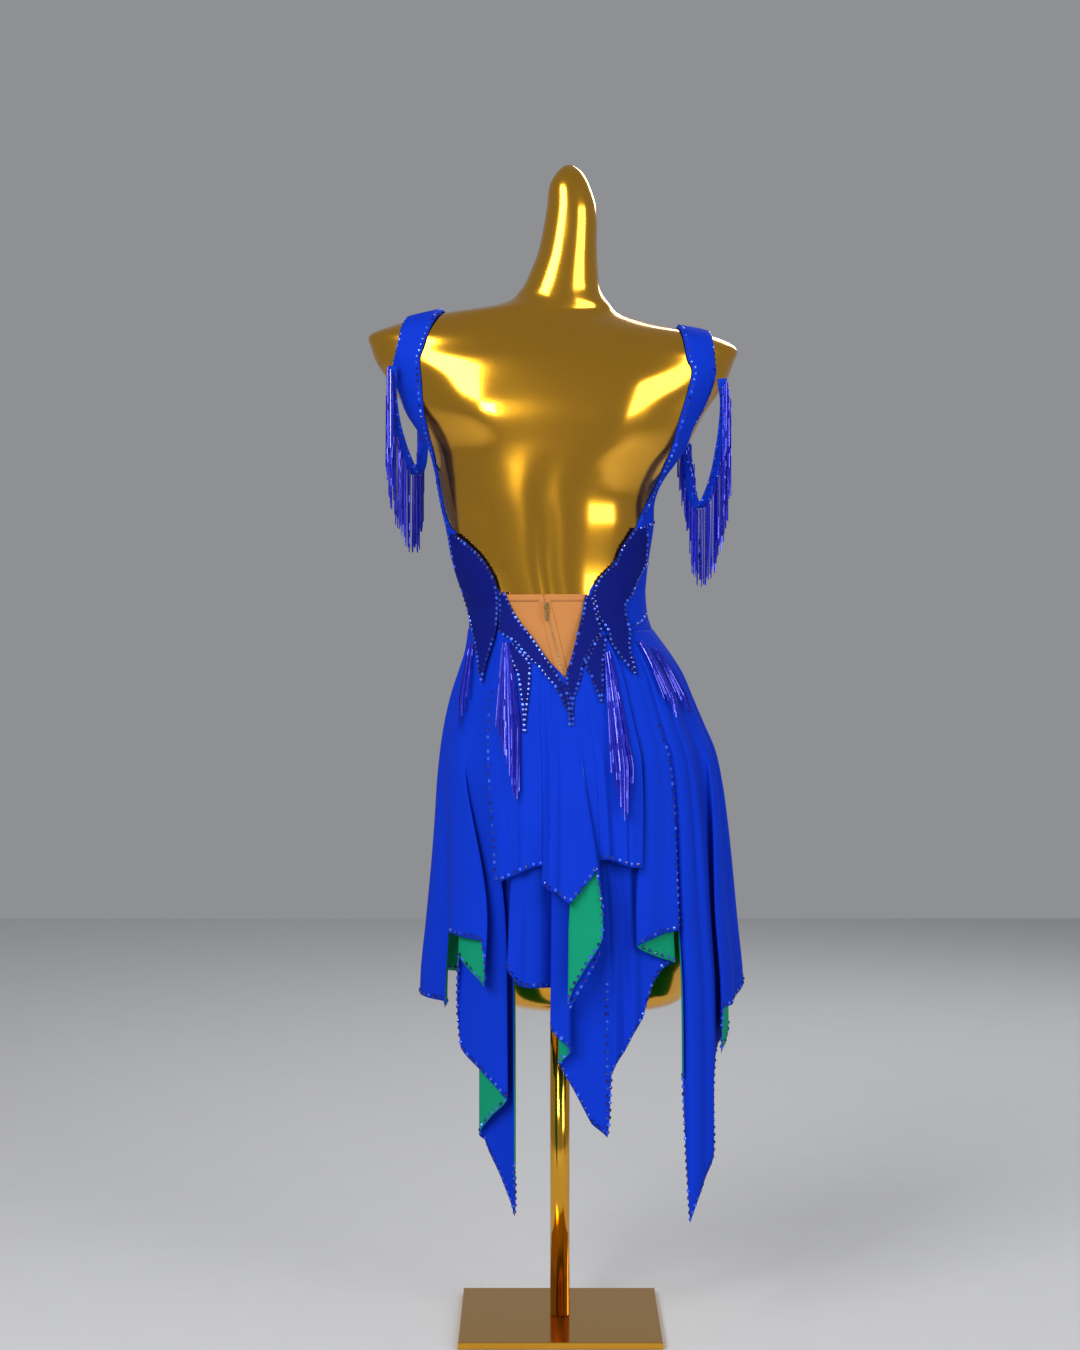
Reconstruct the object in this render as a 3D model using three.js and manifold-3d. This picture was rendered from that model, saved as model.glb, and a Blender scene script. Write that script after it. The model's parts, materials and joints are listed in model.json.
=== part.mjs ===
// Salsa dance dress on a limbless dress form with a pole stand.
// Units are millimetres. +Z is up, the wearer faces -Y and the wearer's left is +X.
// The origin is the middle of the underside of the base plate.

import * as THREE from 'three';
import { mergeVertices } from 'three/addons/utils/BufferGeometryUtils.js';
import Module from 'manifold-3d';

const wasm = await Module();
wasm.setup();

// ---------------------------------------------------------------- driving dimensions

const CLOTH = 1.2;            // wall of every cloth piece
const SEAM = 0.6;             // gap left between two pieces at a seam
const BODY_GAP = 1.6;         // space between the form and the cloth worn on it
const WAIST_Z = 872;          // seam between bodice and skirt
const PLATE = 250;            // base plate side
const PLATE_T = 8;
const POLE_R = 12.2;
const FORM_FOOT_Z = 400;      // flat underside of the form
const BAND_W = 12;            // width of the draped sleeve band
const FRINGE_T = 2.4;         // thickness given to a curtain of bugle beads
const SLEEVE_DROP = 98;       // length of the sleeve strands
const STRAP_LIFT = 3;         // how far the straps stand off the shoulders

// Cross-sections of the dress form: how far it reaches to the wearer's left (+X),
// right (-X), back (+Y) and front (-Y) at each height.
const FORM = [
  { z: 400, left: 60, right: -134, back: 62, front: 60 },
  { z: 407, left: 76, right: -150, back: 78, front: 76 },
  { z: 425, left: 86, right: -160, back: 90, front: 86 },
  { z: 480, left: 95, right: -167, back: 97, front: 93 },
  { z: 590, left: 121, right: -169, back: 102, front: 99 },
  { z: 683, left: 137, right: -169, back: 107, front: 104 },
  { z: 722, left: 137, right: -166, back: 107, front: 105 },
  { z: 754, left: 133, right: -160, back: 105, front: 104 },
  { z: 789, left: 126, right: -150, back: 101, front: 101 },
  { z: 817, left: 119, right: -137, back: 96, front: 96 },
  { z: 845, left: 113, right: -123, back: 91, front: 90 },
  { z: 872, left: 111, right: -112, back: 88, front: 87 },
  { z: 897, left: 112, right: -105, back: 86, front: 86 },
  { z: 917, left: 119, right: -104, back: 86, front: 88 },
  { z: 952, left: 131, right: -107, back: 87, front: 94 },
  { z: 999, left: 140, right: -114, back: 90, front: 104 },
  { z: 1034, left: 148, right: -116, back: 92, front: 112 },
  { z: 1064, left: 153, right: -130, back: 94, front: 117 },
  { z: 1098, left: 162, right: -157, back: 96, front: 115 },
  { z: 1140, left: 190, right: -180, back: 97, front: 105 },
  { z: 1177, left: 211, right: -205, back: 91, front: 93 },
  { z: 1204, left: 229, right: -216, back: 82, front: 81 },
  { z: 1222, left: 235, right: -219, back: 73, front: 71 },
  { z: 1238, left: 237, right: -184, back: 63, front: 61 },
  { z: 1250, left: 208, right: -123, back: 55, front: 53 },
  { z: 1263, left: 158, right: -76, back: 46, front: 45 },
  { z: 1276, left: 76, right: -62, back: 41, front: 42 },
  { z: 1292, left: 51, right: -51, back: 38, front: 39 },
  { z: 1322, left: 35, right: -47, back: 34, front: 36 },
  { z: 1347, left: 26, right: -46, back: 31, front: 33 },
  { z: 1394, left: 17, right: -45, back: 28, front: 29 },
  { z: 1424, left: 13, right: -36, back: 22, front: 22 },
  { z: 1440, left: 4, right: -27, back: 14, front: 14 },
  { z: 1448, left: -5, right: -17, back: 5, front: 5 },
];

// Outer envelope of the skirt, reached by the crests of its folds.
const FLARE = [
  { z: 872, left: 115, right: -116, back: 92, front: 91 },
  { z: 856, left: 117, right: -128, back: 95, front: 94 },
  { z: 841, left: 120, right: -139, back: 98.5, front: 98 },
  { z: 817, left: 128, right: -154, back: 105, front: 104 },
  { z: 789, left: 137, right: -166, back: 113, front: 112 },
  { z: 754, left: 145, right: -181, back: 122, front: 119 },
  { z: 722, left: 150, right: -195, back: 129, front: 126 },
  { z: 683, left: 154, right: -204, back: 135, front: 132 },
  { z: 636, left: 157, right: -211, back: 141, front: 138 },
  { z: 584, left: 161, right: -217, back: 146, front: 143 },
  { z: 510, left: 168, right: -224, back: 152, front: 149 },
  { z: 440, left: 175, right: -231, back: 158, front: 155 },
  { z: 350, left: 176, right: -233, back: 161, front: 158 },
  { z: 150, left: 176, right: -234, back: 164, front: 161 },
];

// Innermost surface that the valleys of the folds may reach.
const CORE = [
  { z: 872, left: 114.4, right: -115.4, back: 91.4, front: 90.4 },
  { z: 845, left: 117, right: -132, back: 95, front: 94 },
  { z: 817, left: 123, right: -146, back: 100, front: 100 },
  { z: 754, left: 138, right: -166, back: 110, front: 109 },
  { z: 683, left: 142, right: -176, back: 113, front: 111 },
  { z: 584, left: 130, right: -177, back: 109, front: 107 },
  { z: 480, left: 112, right: -177, back: 104, front: 102 },
  { z: 400, left: 108, right: -176, back: 102, front: 100 },
  { z: 150, left: 108, right: -176, back: 102, front: 100 },
];

// Under layer of the skirt, once round from the left side by way of the back.
// One row a fold line: `waist` and `hem` are its turns in degrees at the waist and
// at the hem (0 left, 90 back, 180 right, 270 front), `tuck` how deep it lies between
// the envelope and the core, `top` and `drop` the heights of its ends.
const UNDER = [
  {
    name: 'skirt_left_side', folds: [
      { waist: -24, hem: -24, tuck: 0.15, top: 872, drop: 436 },
      { waist: -16, hem: -15, tuck: 0.00, top: 872, drop: 428 },
      { waist: -8, hem: -7, tuck: 0.25, top: 872, drop: 424 },
      { waist: 1, hem: 0, tuck: 0.00, top: 872, drop: 417 },
      { waist: 9, hem: 12, tuck: 0.08, top: 872, drop: 415 },
      { waist: 14.5, hem: 21.5, tuck: 0.32, top: 872, drop: 412 },
      { waist: 20, hem: 29.5, tuck: 0.12, top: 872, drop: 409 },
    ],
  },
  {
    name: 'skirt_left_point', folds: [
      { waist: 20, hem: 29.5, tuck: 0.12, top: 872, drop: 503 },
      { waist: 22.5, hem: 35, tuck: 0.00, top: 872, drop: 502 },
      { waist: 26, hem: 43, tuck: 0.00, top: 872, drop: 499 },
      { waist: 29, hem: 50.5, tuck: 0.03, top: 872, drop: 497 },
      { waist: 31, hem: 51.5, tuck: 0.14, top: 872, drop: 440 },
      { waist: 34.5, hem: 43, tuck: 0.20, top: 872, drop: 458 },
      { waist: 38, hem: 34.5, tuck: 0.26, top: 872, drop: 474 },
      { waist: 40.5, hem: 32, tuck: 0.38, top: 872, drop: 359 },
      { waist: 44, hem: 43, tuck: 0.44, top: 872, drop: 335 },
      { waist: 47, hem: 54, tuck: 0.49, top: 872, drop: 306 },
      { waist: 49, hem: 54.5, tuck: 0.59, top: 872, drop: 300 },
      { waist: 52, hem: 44, tuck: 0.65, top: 872, drop: 275 },
      { waist: 55, hem: 35, tuck: 0.70, top: 872, drop: 251 },
      { waist: 57, hem: 35, tuck: 0.81, top: 872, drop: 243 },
      { waist: 59, hem: 45, tuck: 0.86, top: 872, drop: 200 },
      { waist: 60.5, hem: 53.8, tuck: 0.84, top: 872, drop: 154 },
      { waist: 62, hem: 57.6, tuck: 0.60, top: 872, drop: 225 },
    ],
  },
  {
    name: 'skirt_back_left', folds: [
      { waist: 62, hem: 57.6, tuck: 0.60, top: 872, drop: 452 },
      { waist: 63.5, hem: 60, tuck: 0.32, top: 870, drop: 470 },
      { waist: 65.4, hem: 62, tuck: 0.06, top: 867, drop: 465 },
      { waist: 68.5, hem: 66, tuck: 0.10, top: 861, drop: 446 },
      { waist: 72, hem: 70, tuck: 0.02, top: 853, drop: 444 },
      { waist: 75.5, hem: 74, tuck: 0.10, top: 845, drop: 444 },
      { waist: 78, hem: 77.8, tuck: 0.40, top: 839, drop: 442 },
    ],
  },
  {
    name: 'skirt_back_centre', folds: [
      { waist: 78, hem: 77.8, tuck: 0.40, top: 839, drop: 400 },
      { waist: 79.8, hem: 78, tuck: 0.10, top: 834, drop: 397 },
      { waist: 82.5, hem: 81, tuck: 0.03, top: 827, drop: 385 },
      { waist: 85, hem: 84.6, tuck: 0.08, top: 820, drop: 372 },
      { waist: 86.5, hem: 84.4, tuck: 0.24, top: 816, drop: 366 },
      { waist: 88, hem: 80.5, tuck: 0.30, top: 812, drop: 352 },
      { waist: 89.3, hem: 80, tuck: 0.44, top: 809, drop: 348 },
      { waist: 91, hem: 86, tuck: 0.46, top: 805, drop: 312 },
      { waist: 92.2, hem: 92, tuck: 0.38, top: 802, drop: 278 },
      { waist: 93.5, hem: 98, tuck: 0.30, top: 802, drop: 262 },
      { waist: 95, hem: 99.6, tuck: 0.30, top: 810, drop: 338 },
      { waist: 96.5, hem: 101.5, tuck: 0.26, top: 818, drop: 352 },
    ],
  },
  {
    name: 'skirt_back_right', folds: [
      { waist: 96.5, hem: 101.5, tuck: 0.26, top: 818, drop: 352 },
      { waist: 98.5, hem: 105, tuck: 0.38, top: 829, drop: 365 },
      { waist: 101, hem: 108.5, tuck: 0.30, top: 844, drop: 388 },
      { waist: 103.5, hem: 112.5, tuck: 0.40, top: 868, drop: 403 },
      { waist: 106, hem: 116.5, tuck: 0.36, top: 872, drop: 445 },
      { waist: 109, hem: 121, tuck: 0.34, top: 872, drop: 463 },
      { waist: 111.5, hem: 125.5, tuck: 0.38, top: 872, drop: 469 },
      { waist: 113.5, hem: 125.5, tuck: 0.25, top: 872, drop: 470 },
      { waist: 116, hem: 117.5, tuck: 0.20, top: 872, drop: 479 },
      { waist: 118.5, hem: 110, tuck: 0.16, top: 872, drop: 491 },
      { waist: 120, hem: 109.6, tuck: 0.06, top: 872, drop: 494 },
      { waist: 123, hem: 114, tuck: 0.00, top: 872, drop: 501 },
      { waist: 126, hem: 120.5, tuck: 0.04, top: 872, drop: 508 },
      { waist: 129, hem: 125.5, tuck: 0.00, top: 872, drop: 510 },
      { waist: 131, hem: 127.6, tuck: 0.12, top: 872, drop: 524 },
    ],
  },
  {
    name: 'skirt_right_point', folds: [
      { waist: 131, hem: 127.6, tuck: 0.12, top: 872, drop: 330 },
      { waist: 132.6, hem: 128.6, tuck: 0.24, top: 872, drop: 330 },
      { waist: 134, hem: 129.2, tuck: 0.05, top: 872, drop: 154 },
      { waist: 137, hem: 132.5, tuck: 0.00, top: 872, drop: 183 },
      { waist: 140, hem: 137, tuck: 0.04, top: 872, drop: 206 },
      { waist: 143, hem: 141, tuck: 0.02, top: 872, drop: 232 },
      { waist: 145.5, hem: 143, tuck: 0.12, top: 872, drop: 300 },
      { waist: 148, hem: 147.4, tuck: 0.22, top: 872, drop: 350 },
    ],
  },
  {
    name: 'skirt_right_side', folds: [
      { waist: 148, hem: 147.4, tuck: 0.22, top: 872, drop: 350 },
      { waist: 151, hem: 154, tuck: 0.36, top: 872, drop: 360 },
      { waist: 153, hem: 160, tuck: 0.34, top: 872, drop: 370 },
      { waist: 155, hem: 160, tuck: 0.24, top: 872, drop: 384 },
      { waist: 157, hem: 153.5, tuck: 0.17, top: 872, drop: 364 },
      { waist: 159, hem: 148.5, tuck: 0.12, top: 872, drop: 354 },
      { waist: 161, hem: 148, tuck: 0.03, top: 872, drop: 410 },
      { waist: 164, hem: 154, tuck: 0.00, top: 872, drop: 412 },
      { waist: 168, hem: 162, tuck: 0.05, top: 872, drop: 420 },
      { waist: 173, hem: 171, tuck: 0.00, top: 872, drop: 432 },
      { waist: 178, hem: 179, tuck: 0.10, top: 872, drop: 442 },
      { waist: 184, hem: 187, tuck: 0.00, top: 872, drop: 446 },
      { waist: 190, hem: 195, tuck: 0.20, top: 872, drop: 440 },
    ],
  },
  {
    name: 'skirt_front_right', folds: [
      { waist: 190, hem: 195, tuck: 0.20, top: 872, drop: 440 },
      { waist: 197, hem: 202, tuck: 0.00, top: 872, drop: 452 },
      { waist: 205, hem: 210, tuck: 0.34, top: 872, drop: 466 },
      { waist: 212, hem: 217, tuck: 0.00, top: 872, drop: 480 },
      { waist: 220, hem: 225, tuck: 0.28, top: 872, drop: 492 },
      { waist: 227, hem: 231, tuck: 0.04, top: 872, drop: 500 },
      { waist: 235, hem: 238, tuck: 0.36, top: 872, drop: 506 },
    ],
  },
  {
    name: 'skirt_front_centre', folds: [
      { waist: 235, hem: 238, tuck: 0.36, top: 872, drop: 506 },
      { waist: 242, hem: 244, tuck: 0.00, top: 872, drop: 510 },
      { waist: 250, hem: 251, tuck: 0.30, top: 872, drop: 512 },
      { waist: 258, hem: 258, tuck: 0.02, top: 872, drop: 512 },
      { waist: 265, hem: 265, tuck: 0.36, top: 872, drop: 508 },
      { waist: 273, hem: 272, tuck: 0.00, top: 872, drop: 504 },
      { waist: 281, hem: 280, tuck: 0.32, top: 872, drop: 498 },
      { waist: 288, hem: 286, tuck: 0.08, top: 872, drop: 490 },
    ],
  },
  {
    name: 'skirt_front_left', folds: [
      { waist: 288, hem: 286, tuck: 0.08, top: 872, drop: 490 },
      { waist: 295, hem: 292, tuck: 0.00, top: 872, drop: 432 },
      { waist: 301, hem: 298, tuck: 0.32, top: 872, drop: 394 },
      { waist: 307, hem: 304, tuck: 0.02, top: 872, drop: 378 },
      { waist: 314, hem: 312, tuck: 0.34, top: 872, drop: 390 },
      { waist: 321, hem: 320, tuck: 0.00, top: 872, drop: 414 },
      { waist: 328, hem: 328, tuck: 0.28, top: 872, drop: 432 },
      { waist: 336, hem: 336, tuck: 0.15, top: 872, drop: 436 },
    ],
  },
];

// Short upper layer over the back of the skirt; `crest` is how far its folds stand
// out from the under layer, in millimetres.
const OVERLAY = [
  {
    name: 'overlay_left', folds: [
      { waist: 49, hem: 57.6, crest: 1, top: 872, drop: 570 },
      { waist: 54, hem: 61.5, crest: 5, top: 872, drop: 572 },
      { waist: 60, hem: 65, crest: 1, top: 872, drop: 578 },
      { waist: 66, hem: 68.6, crest: 6, top: 865, drop: 584 },
      { waist: 71, hem: 72, crest: 3, top: 855, drop: 589 },
      { waist: 75, hem: 75, crest: 0, top: 845, drop: 591 },
    ],
  },
  {
    name: 'overlay_centre', folds: [
      { waist: 75, hem: 75, crest: 0, top: 845, drop: 568 },
      { waist: 79, hem: 78, crest: 16, top: 836, drop: 564 },
      { waist: 82, hem: 81.5, crest: 26, top: 828, drop: 560 },
      { waist: 84.5, hem: 85.5, crest: 28, top: 821, drop: 549 },
      { waist: 86.5, hem: 90.5, crest: 26, top: 816, drop: 570 },
      { waist: 88, hem: 95, crest: 25, top: 812, drop: 590 },
      { waist: 89.5, hem: 95.5, crest: 19, top: 809, drop: 508 },
      { waist: 91, hem: 90.5, crest: 17, top: 805, drop: 474 },
      { waist: 92.5, hem: 86, crest: 15, top: 802, drop: 442 },
      { waist: 93.8, hem: 85.5, crest: 10, top: 808, drop: 420 },
      { waist: 95, hem: 91, crest: 9, top: 818, drop: 460 },
      { waist: 96.2, hem: 95, crest: 8, top: 826, drop: 488 },
    ],
  },
  {
    name: 'overlay_right', folds: [
      { waist: 96.2, hem: 97.2, crest: 22, top: 826, drop: 599 },
      { waist: 98.5, hem: 98.6, crest: 14, top: 836, drop: 600 },
      { waist: 101, hem: 100.5, crest: 4, top: 848, drop: 597 },
      { waist: 105, hem: 103, crest: 7, top: 871, drop: 593 },
      { waist: 111, hem: 106.5, crest: 3, top: 872, drop: 589 },
      { waist: 116, hem: 110, crest: 0, top: 872, drop: 588 },
    ],
  },
];

// Bodice pieces: one row a height, `from` and `to` the turns of their two edges.
const BACK_LEFT = [
  { z: 872.4, from: -22, to: 60 },
  { z: 885, from: -22, to: 60 },
  { z: 899, from: -21, to: 56.5 },
  { z: 918, from: -20, to: 54.2 },
  { z: 940, from: -19, to: 49 },
  { z: 962, from: -18, to: 41.5 },
  { z: 978, from: -17, to: 33 },
  { z: 993, from: -17, to: 22 },
  { z: 1001, from: -16, to: 14 },
  { z: 1020, from: -15, to: 8 },
  { z: 1048, from: -10, to: 6 },
  { z: 1072, from: -3, to: 7 },
  { z: 1098, from: 0.5, to: 12 },
  { z: 1120, from: 4, to: 22 },
  { z: 1140, from: 6, to: 28.5 },
  { z: 1162, from: 13, to: 33.5 },
  { z: 1184, from: 18, to: 38 },
  { z: 1204, from: 27, to: 42 },
];
const BACK_RIGHT = [
  { z: 872.4, from: 105.5, to: 202 },
  { z: 890, from: 108.6, to: 202 },
  { z: 917, from: 112.4, to: 201 },
  { z: 926, from: 115, to: 200 },
  { z: 940, from: 123, to: 199 },
  { z: 957, from: 131, to: 198 },
  { z: 975, from: 137, to: 197 },
  { z: 997, from: 146, to: 196 },
  { z: 1010, from: 150, to: 195 },
  { z: 1028, from: 159.5, to: 194 },
  { z: 1046, from: 166, to: 190 },
  { z: 1064, from: 163, to: 182 },
  { z: 1080, from: 156.5, to: 175 },
  { z: 1100, from: 151, to: 170 },
  { z: 1122, from: 148, to: 165 },
  { z: 1143, from: 146, to: 165 },
  { z: 1169, from: 142, to: 159 },
  { z: 1190, from: 140, to: 155 },
];
const FRONT_LEFT = [
  { z: 872.4, from: 270, to: 337.2 },
  { z: 899, from: 270, to: 338.2 },
  { z: 940, from: 270, to: 340.2 },
  { z: 993, from: 270, to: 342.2 },
  { z: 1020, from: 270, to: 344.2 },
  { z: 1048, from: 270, to: 349 },
  { z: 1072, from: 271, to: 352 },
  { z: 1098, from: 285, to: 343 },
  { z: 1130, from: 299, to: 334 },
  { z: 1165, from: 305, to: 331 },
  { z: 1204, from: 307, to: 329 },
];
const FRONT_RIGHT = [
  { z: 872.4, from: 203.2, to: 269.6 },
  { z: 899, from: 202.6, to: 269.6 },
  { z: 940, from: 200.8, to: 269.6 },
  { z: 993, from: 198, to: 269.6 },
  { z: 1020, from: 196.4, to: 269.6 },
  { z: 1044, from: 192.8, to: 269.6 },
  { z: 1072, from: 187, to: 268.6 },
  { z: 1098, from: 196, to: 255 },
  { z: 1130, from: 205, to: 241 },
  { z: 1165, from: 209, to: 235 },
  { z: 1190, from: 211, to: 231 },
];

// Straps over the shoulders: `lean` is the angle from straight back (0) over the
// top (90) to straight front (180); `outer` and `inner` are X of the two edges.
const STRAPS = {
  left: {
    pivotZ: 1180,
    back: [
      { lean: 34, outer: 203, inner: 168 },
      { lean: 46, outer: 200, inner: 163 },
      { lean: 57, outer: 197, inner: 157 },
      { lean: 67, outer: 194, inner: 151 },
      { lean: 77, outer: 191, inner: 146 },
      { lean: 88, outer: 189, inner: 143 },
    ],
    front: [
      { lean: 91, outer: 189, inner: 143 },
      { lean: 102, outer: 189, inner: 144 },
      { lean: 113, outer: 190, inner: 145 },
      { lean: 124, outer: 191, inner: 146 },
      { lean: 135, outer: 193, inner: 146 },
    ],
  },
  right: {
    pivotZ: 1165,
    back: [
      { lean: 34, outer: -190, inner: -155 },
      { lean: 46, outer: -189, inner: -152 },
      { lean: 57, outer: -188, inner: -150 },
      { lean: 67, outer: -187, inner: -148 },
      { lean: 77, outer: -186, inner: -146 },
      { lean: 88, outer: -185, inner: -144 },
    ],
    front: [
      { lean: 91, outer: -185, inner: -144 },
      { lean: 102, outer: -184, inner: -143 },
      { lean: 113, outer: -182, inner: -142 },
      { lean: 124, outer: -181, inner: -141 },
      { lean: 135, outer: -180, inner: -141 },
    ],
  },
};

// Dark shaped pieces round the waist: one row a height, X of the left and right edges.
const DARK = [
  {
    name: 'dark_panel_left', rows: [
      { z: 990, left: 138, right: 131 }, { z: 978, left: 136, right: 115.5 },
      { z: 962, left: 133, right: 98.5 }, { z: 940, left: 128, right: 84 },
      { z: 918, left: 121, right: 77 }, { z: 897, left: 114.5, right: 76 },
      { z: 874, left: 109, right: 78 }, { z: 859, left: 105.5, right: 82 },
      { z: 845, left: 103, right: 86.4 }, { z: 828, left: 101, right: 91.5 },
      { z: 809, left: 97, right: 95.6 },
    ],
  },
  {
    name: 'dark_band_left', rows: [
      { z: 917, left: 75.5, right: 67 }, { z: 899, left: 74.6, right: 59.5 },
      { z: 883, left: 75, right: 50 }, { z: 870, left: 74, right: 39.5 },
      { z: 858, left: 56, right: 30.5 }, { z: 845, left: 45, right: 21.5 },
      { z: 828, left: 26.5, right: 9.5 }, { z: 817, left: 17.5, right: 2.5 },
      { z: 804, left: 7, right: -6 }, { z: 790, left: -1, right: -10.4 },
      { z: 769, left: -10, right: -12 }, { z: 757, left: -12, right: -12.3 },
    ],
  },
  {
    name: 'dark_point_left', rows: [
      { z: 856.5, left: 69.5, right: 58 }, { z: 846, left: 65, right: 48 },
      { z: 833, left: 59, right: 37 }, { z: 818, left: 52.5, right: 36 },
      { z: 797, left: 49, right: 37.5 }, { z: 784, left: 47, right: 39 },
      { z: 749, left: 44.4, right: 43.4 },
    ],
  },
  {
    name: 'dark_band_right', rows: [
      { z: 915, left: -30, right: -38.6 }, { z: 888, left: -25, right: -45 },
      { z: 872, left: -21, right: -50 }, { z: 858, left: -17.6, right: -40 },
      { z: 844, left: -14, right: -34 }, { z: 832, left: -10.5, right: -28 },
      { z: 820, left: -6.6, right: -26 }, { z: 804, left: -7, right: -21.5 },
      { z: 790, left: -11.2, right: -16.6 }, { z: 769, left: -12.7, right: -15 },
      { z: 757, left: -12.9, right: -13.3 },
    ],
  },
  {
    name: 'dark_point_right', rows: [
      { z: 866, left: -47, right: -56.4 }, { z: 856, left: -40, right: -55 },
      { z: 842, left: -34, right: -53 }, { z: 832, left: -29, right: -52 },
      { z: 818, left: -36, right: -52 }, { z: 804, left: -41, right: -52 },
      { z: 785, left: -48.6, right: -49.6 },
    ],
  },
  {
    name: 'dark_panel_right', rows: [
      { z: 997, left: -92, right: -106 }, { z: 985, left: -84, right: -108 },
      { z: 970, left: -74, right: -107 }, { z: 955, left: -68, right: -106 },
      { z: 946, left: -58, right: -102 }, { z: 933, left: -45.5, right: -95 },
      { z: 917, left: -39.6, right: -89 }, { z: 903, left: -42, right: -80 },
      { z: 888, left: -46, right: -81 }, { z: 872, left: -57.4, right: -85.5 },
      { z: 858, left: -60, right: -85 }, { z: 845, left: -69, right: -86 },
      { z: 833, left: -78, right: -90 }, { z: 818, left: -91, right: -92.4 },
    ],
  },
];

// Flesh-coloured insert below the back opening, split by the zip.
const INSERT = [
  { z: 916, left: 67, zip: 20.4, right: -32 },
  { z: 899, left: 61, zip: 16.4, right: -30 },
  { z: 883, left: 51, zip: 12.7, right: -26 },
  { z: 864, left: 37, zip: 8.2, right: -22 },
  { z: 839, left: 19, zip: 2.4, right: -15 },
  { z: 818, left: 5, zip: -2.5, right: -9 },
  { z: 809, left: -2, zip: -4.8, right: -7.6 },
];
const TAPE_W = 7;

// Tassels of bugle beads hanging from the waist points.
const TASSELS = [
  {
    name: 'tassel_back_left', rows: [
      { z: 858, left: 70, right: 63 }, { z: 830, left: 75, right: 58 },
      { z: 795, left: 78, right: 52 }, { z: 759, left: 79, right: 49 },
      { z: 720, left: 71, right: 49 }, { z: 690, left: 63, right: 51 },
      { z: 663, left: 56, right: 52.5 },
    ],
  },
  {
    name: 'tassel_back_right', rows: [
      { z: 848, left: -53, right: -59 }, { z: 820, left: -54, right: -65 },
      { z: 780, left: -56, right: -75 }, { z: 745, left: -58, right: -83 },
      { z: 708, left: -60, right: -87 }, { z: 675, left: -68, right: -84 },
      { z: 642, left: -74.5, right: -77.5 },
    ],
  },
  {
    name: 'tassel_right_inner', rows: [
      { z: 860, left: -94, right: -97 }, { z: 840, left: -101, right: -109 },
      { z: 815, left: -113, right: -126 }, { z: 790, left: -126, right: -141 },
      { z: 765, left: -142, right: -153 }, { z: 750, left: -152, right: -155 },
    ],
  },
  {
    name: 'tassel_right_outer', rows: [
      { z: 851, left: -112, right: -115 }, { z: 835, left: -119, right: -126 },
      { z: 812, left: -131, right: -142 }, { z: 788, left: -144, right: -157 },
      { z: 763, left: -160, right: -169 }, { z: 742, left: -172, right: -175 },
    ],
  },
  {
    name: 'tassel_left_side', rows: [
      { z: 859, left: 111, right: 107 }, { z: 830, left: 117, right: 108 },
      { z: 790, left: 124, right: 113 }, { z: 740, left: 128, right: 124 },
    ],
  },
];

// Draped sleeve bands: the line of the band from the back of the armhole to its front.
const SLEEVES = {
  left: [
    { x: 211, y: 54, z: 1196 }, { x: 213, y: 47, z: 1166 }, { x: 209, y: 36, z: 1128 },
    { x: 199, y: 20, z: 1091 }, { x: 187, y: 0, z: 1066 }, { x: 180, y: -26, z: 1078 },
    { x: 178, y: -48, z: 1112 }, { x: 179, y: -67, z: 1152 }, { x: 179, y: -84, z: 1188 },
  ],
  right: [
    { x: -204, y: 52, z: 1181 }, { x: -208, y: 46, z: 1150 }, { x: -205, y: 35, z: 1106 },
    { x: -196, y: 18, z: 1056 }, { x: -182, y: 0, z: 1024 }, { x: -172, y: -26, z: 1042 },
    { x: -168, y: -48, z: 1084 }, { x: -162, y: -66, z: 1128 }, { x: -156, y: -82, z: 1166 },
  ],
};

// Zip slider and its pull tab.
const ZIP = { x: 17.8, z: 903, width: 5, height: 8, base: 1.6, lug: 1.2 };
const PULL = { width: 4.6, length: 19, thick: 0.9, slot: 2.2, reach: 5.6 };

// ---------------------------------------------------------------- materials

const FINISH = {
  royal: { color: 0x0a35b8, roughness: 0.75, metalness: 0 },
  dark: { color: 0x0a1478, roughness: 0.6, metalness: 0 },
  nude: { color: 0xc08a55, roughness: 0.8, metalness: 0 },
  beads: { color: 0x2a2ad8, roughness: 0.25, metalness: 0.1 },
  gold: { color: 0xc9961e, roughness: 0.18, metalness: 0.9 },
  bronze: { color: 0x8a6a35, roughness: 0.35, metalness: 0.9 },
};

// ---------------------------------------------------------------- surface helpers

const RAD = Math.PI / 180;

// Smooth value of a column at a height, from the rows above and below it.
function valueAt(table, key, z) {
  const rows = table[0].z < table[table.length - 1].z ? table : [...table].reverse();
  const last = rows.length - 1;
  const at = Math.min(Math.max(z, rows[0].z), rows[last].z);
  let i = 0;
  while (i < last - 1 && at > rows[i + 1].z) i += 1;
  const slope = (k) => {
    const a = rows[Math.max(k - 1, 0)];
    const b = rows[Math.min(k + 1, last)];
    return (b[key] - a[key]) / (b.z - a.z);
  };
  const span = rows[i + 1].z - rows[i].z;
  const t = (at - rows[i].z) / span;
  const h1 = 2 * t ** 3 - 3 * t ** 2 + 1;
  const h2 = t ** 3 - 2 * t ** 2 + t;
  const h4 = t ** 3 - t ** 2;
  return h1 * rows[i][key] + h2 * span * slope(i)
    + (1 - h1) * rows[i + 1][key] + h4 * span * slope(i + 1);
}

// Point of a ring table at a turn (degrees) and height, moved outward by `out`.
function ringPoint(table, turn, z, out = 0) {
  const left = valueAt(table, 'left', z) + out;
  const right = valueAt(table, 'right', z) - out;
  const c = Math.cos(turn * RAD);
  const s = Math.sin(turn * RAD);
  const depth = (s > 0 ? valueAt(table, 'back', z) : valueAt(table, 'front', z)) + out;
  return new THREE.Vector3((left + right) / 2 + (left - right) / 2 * c, depth * s, z);
}

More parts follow.
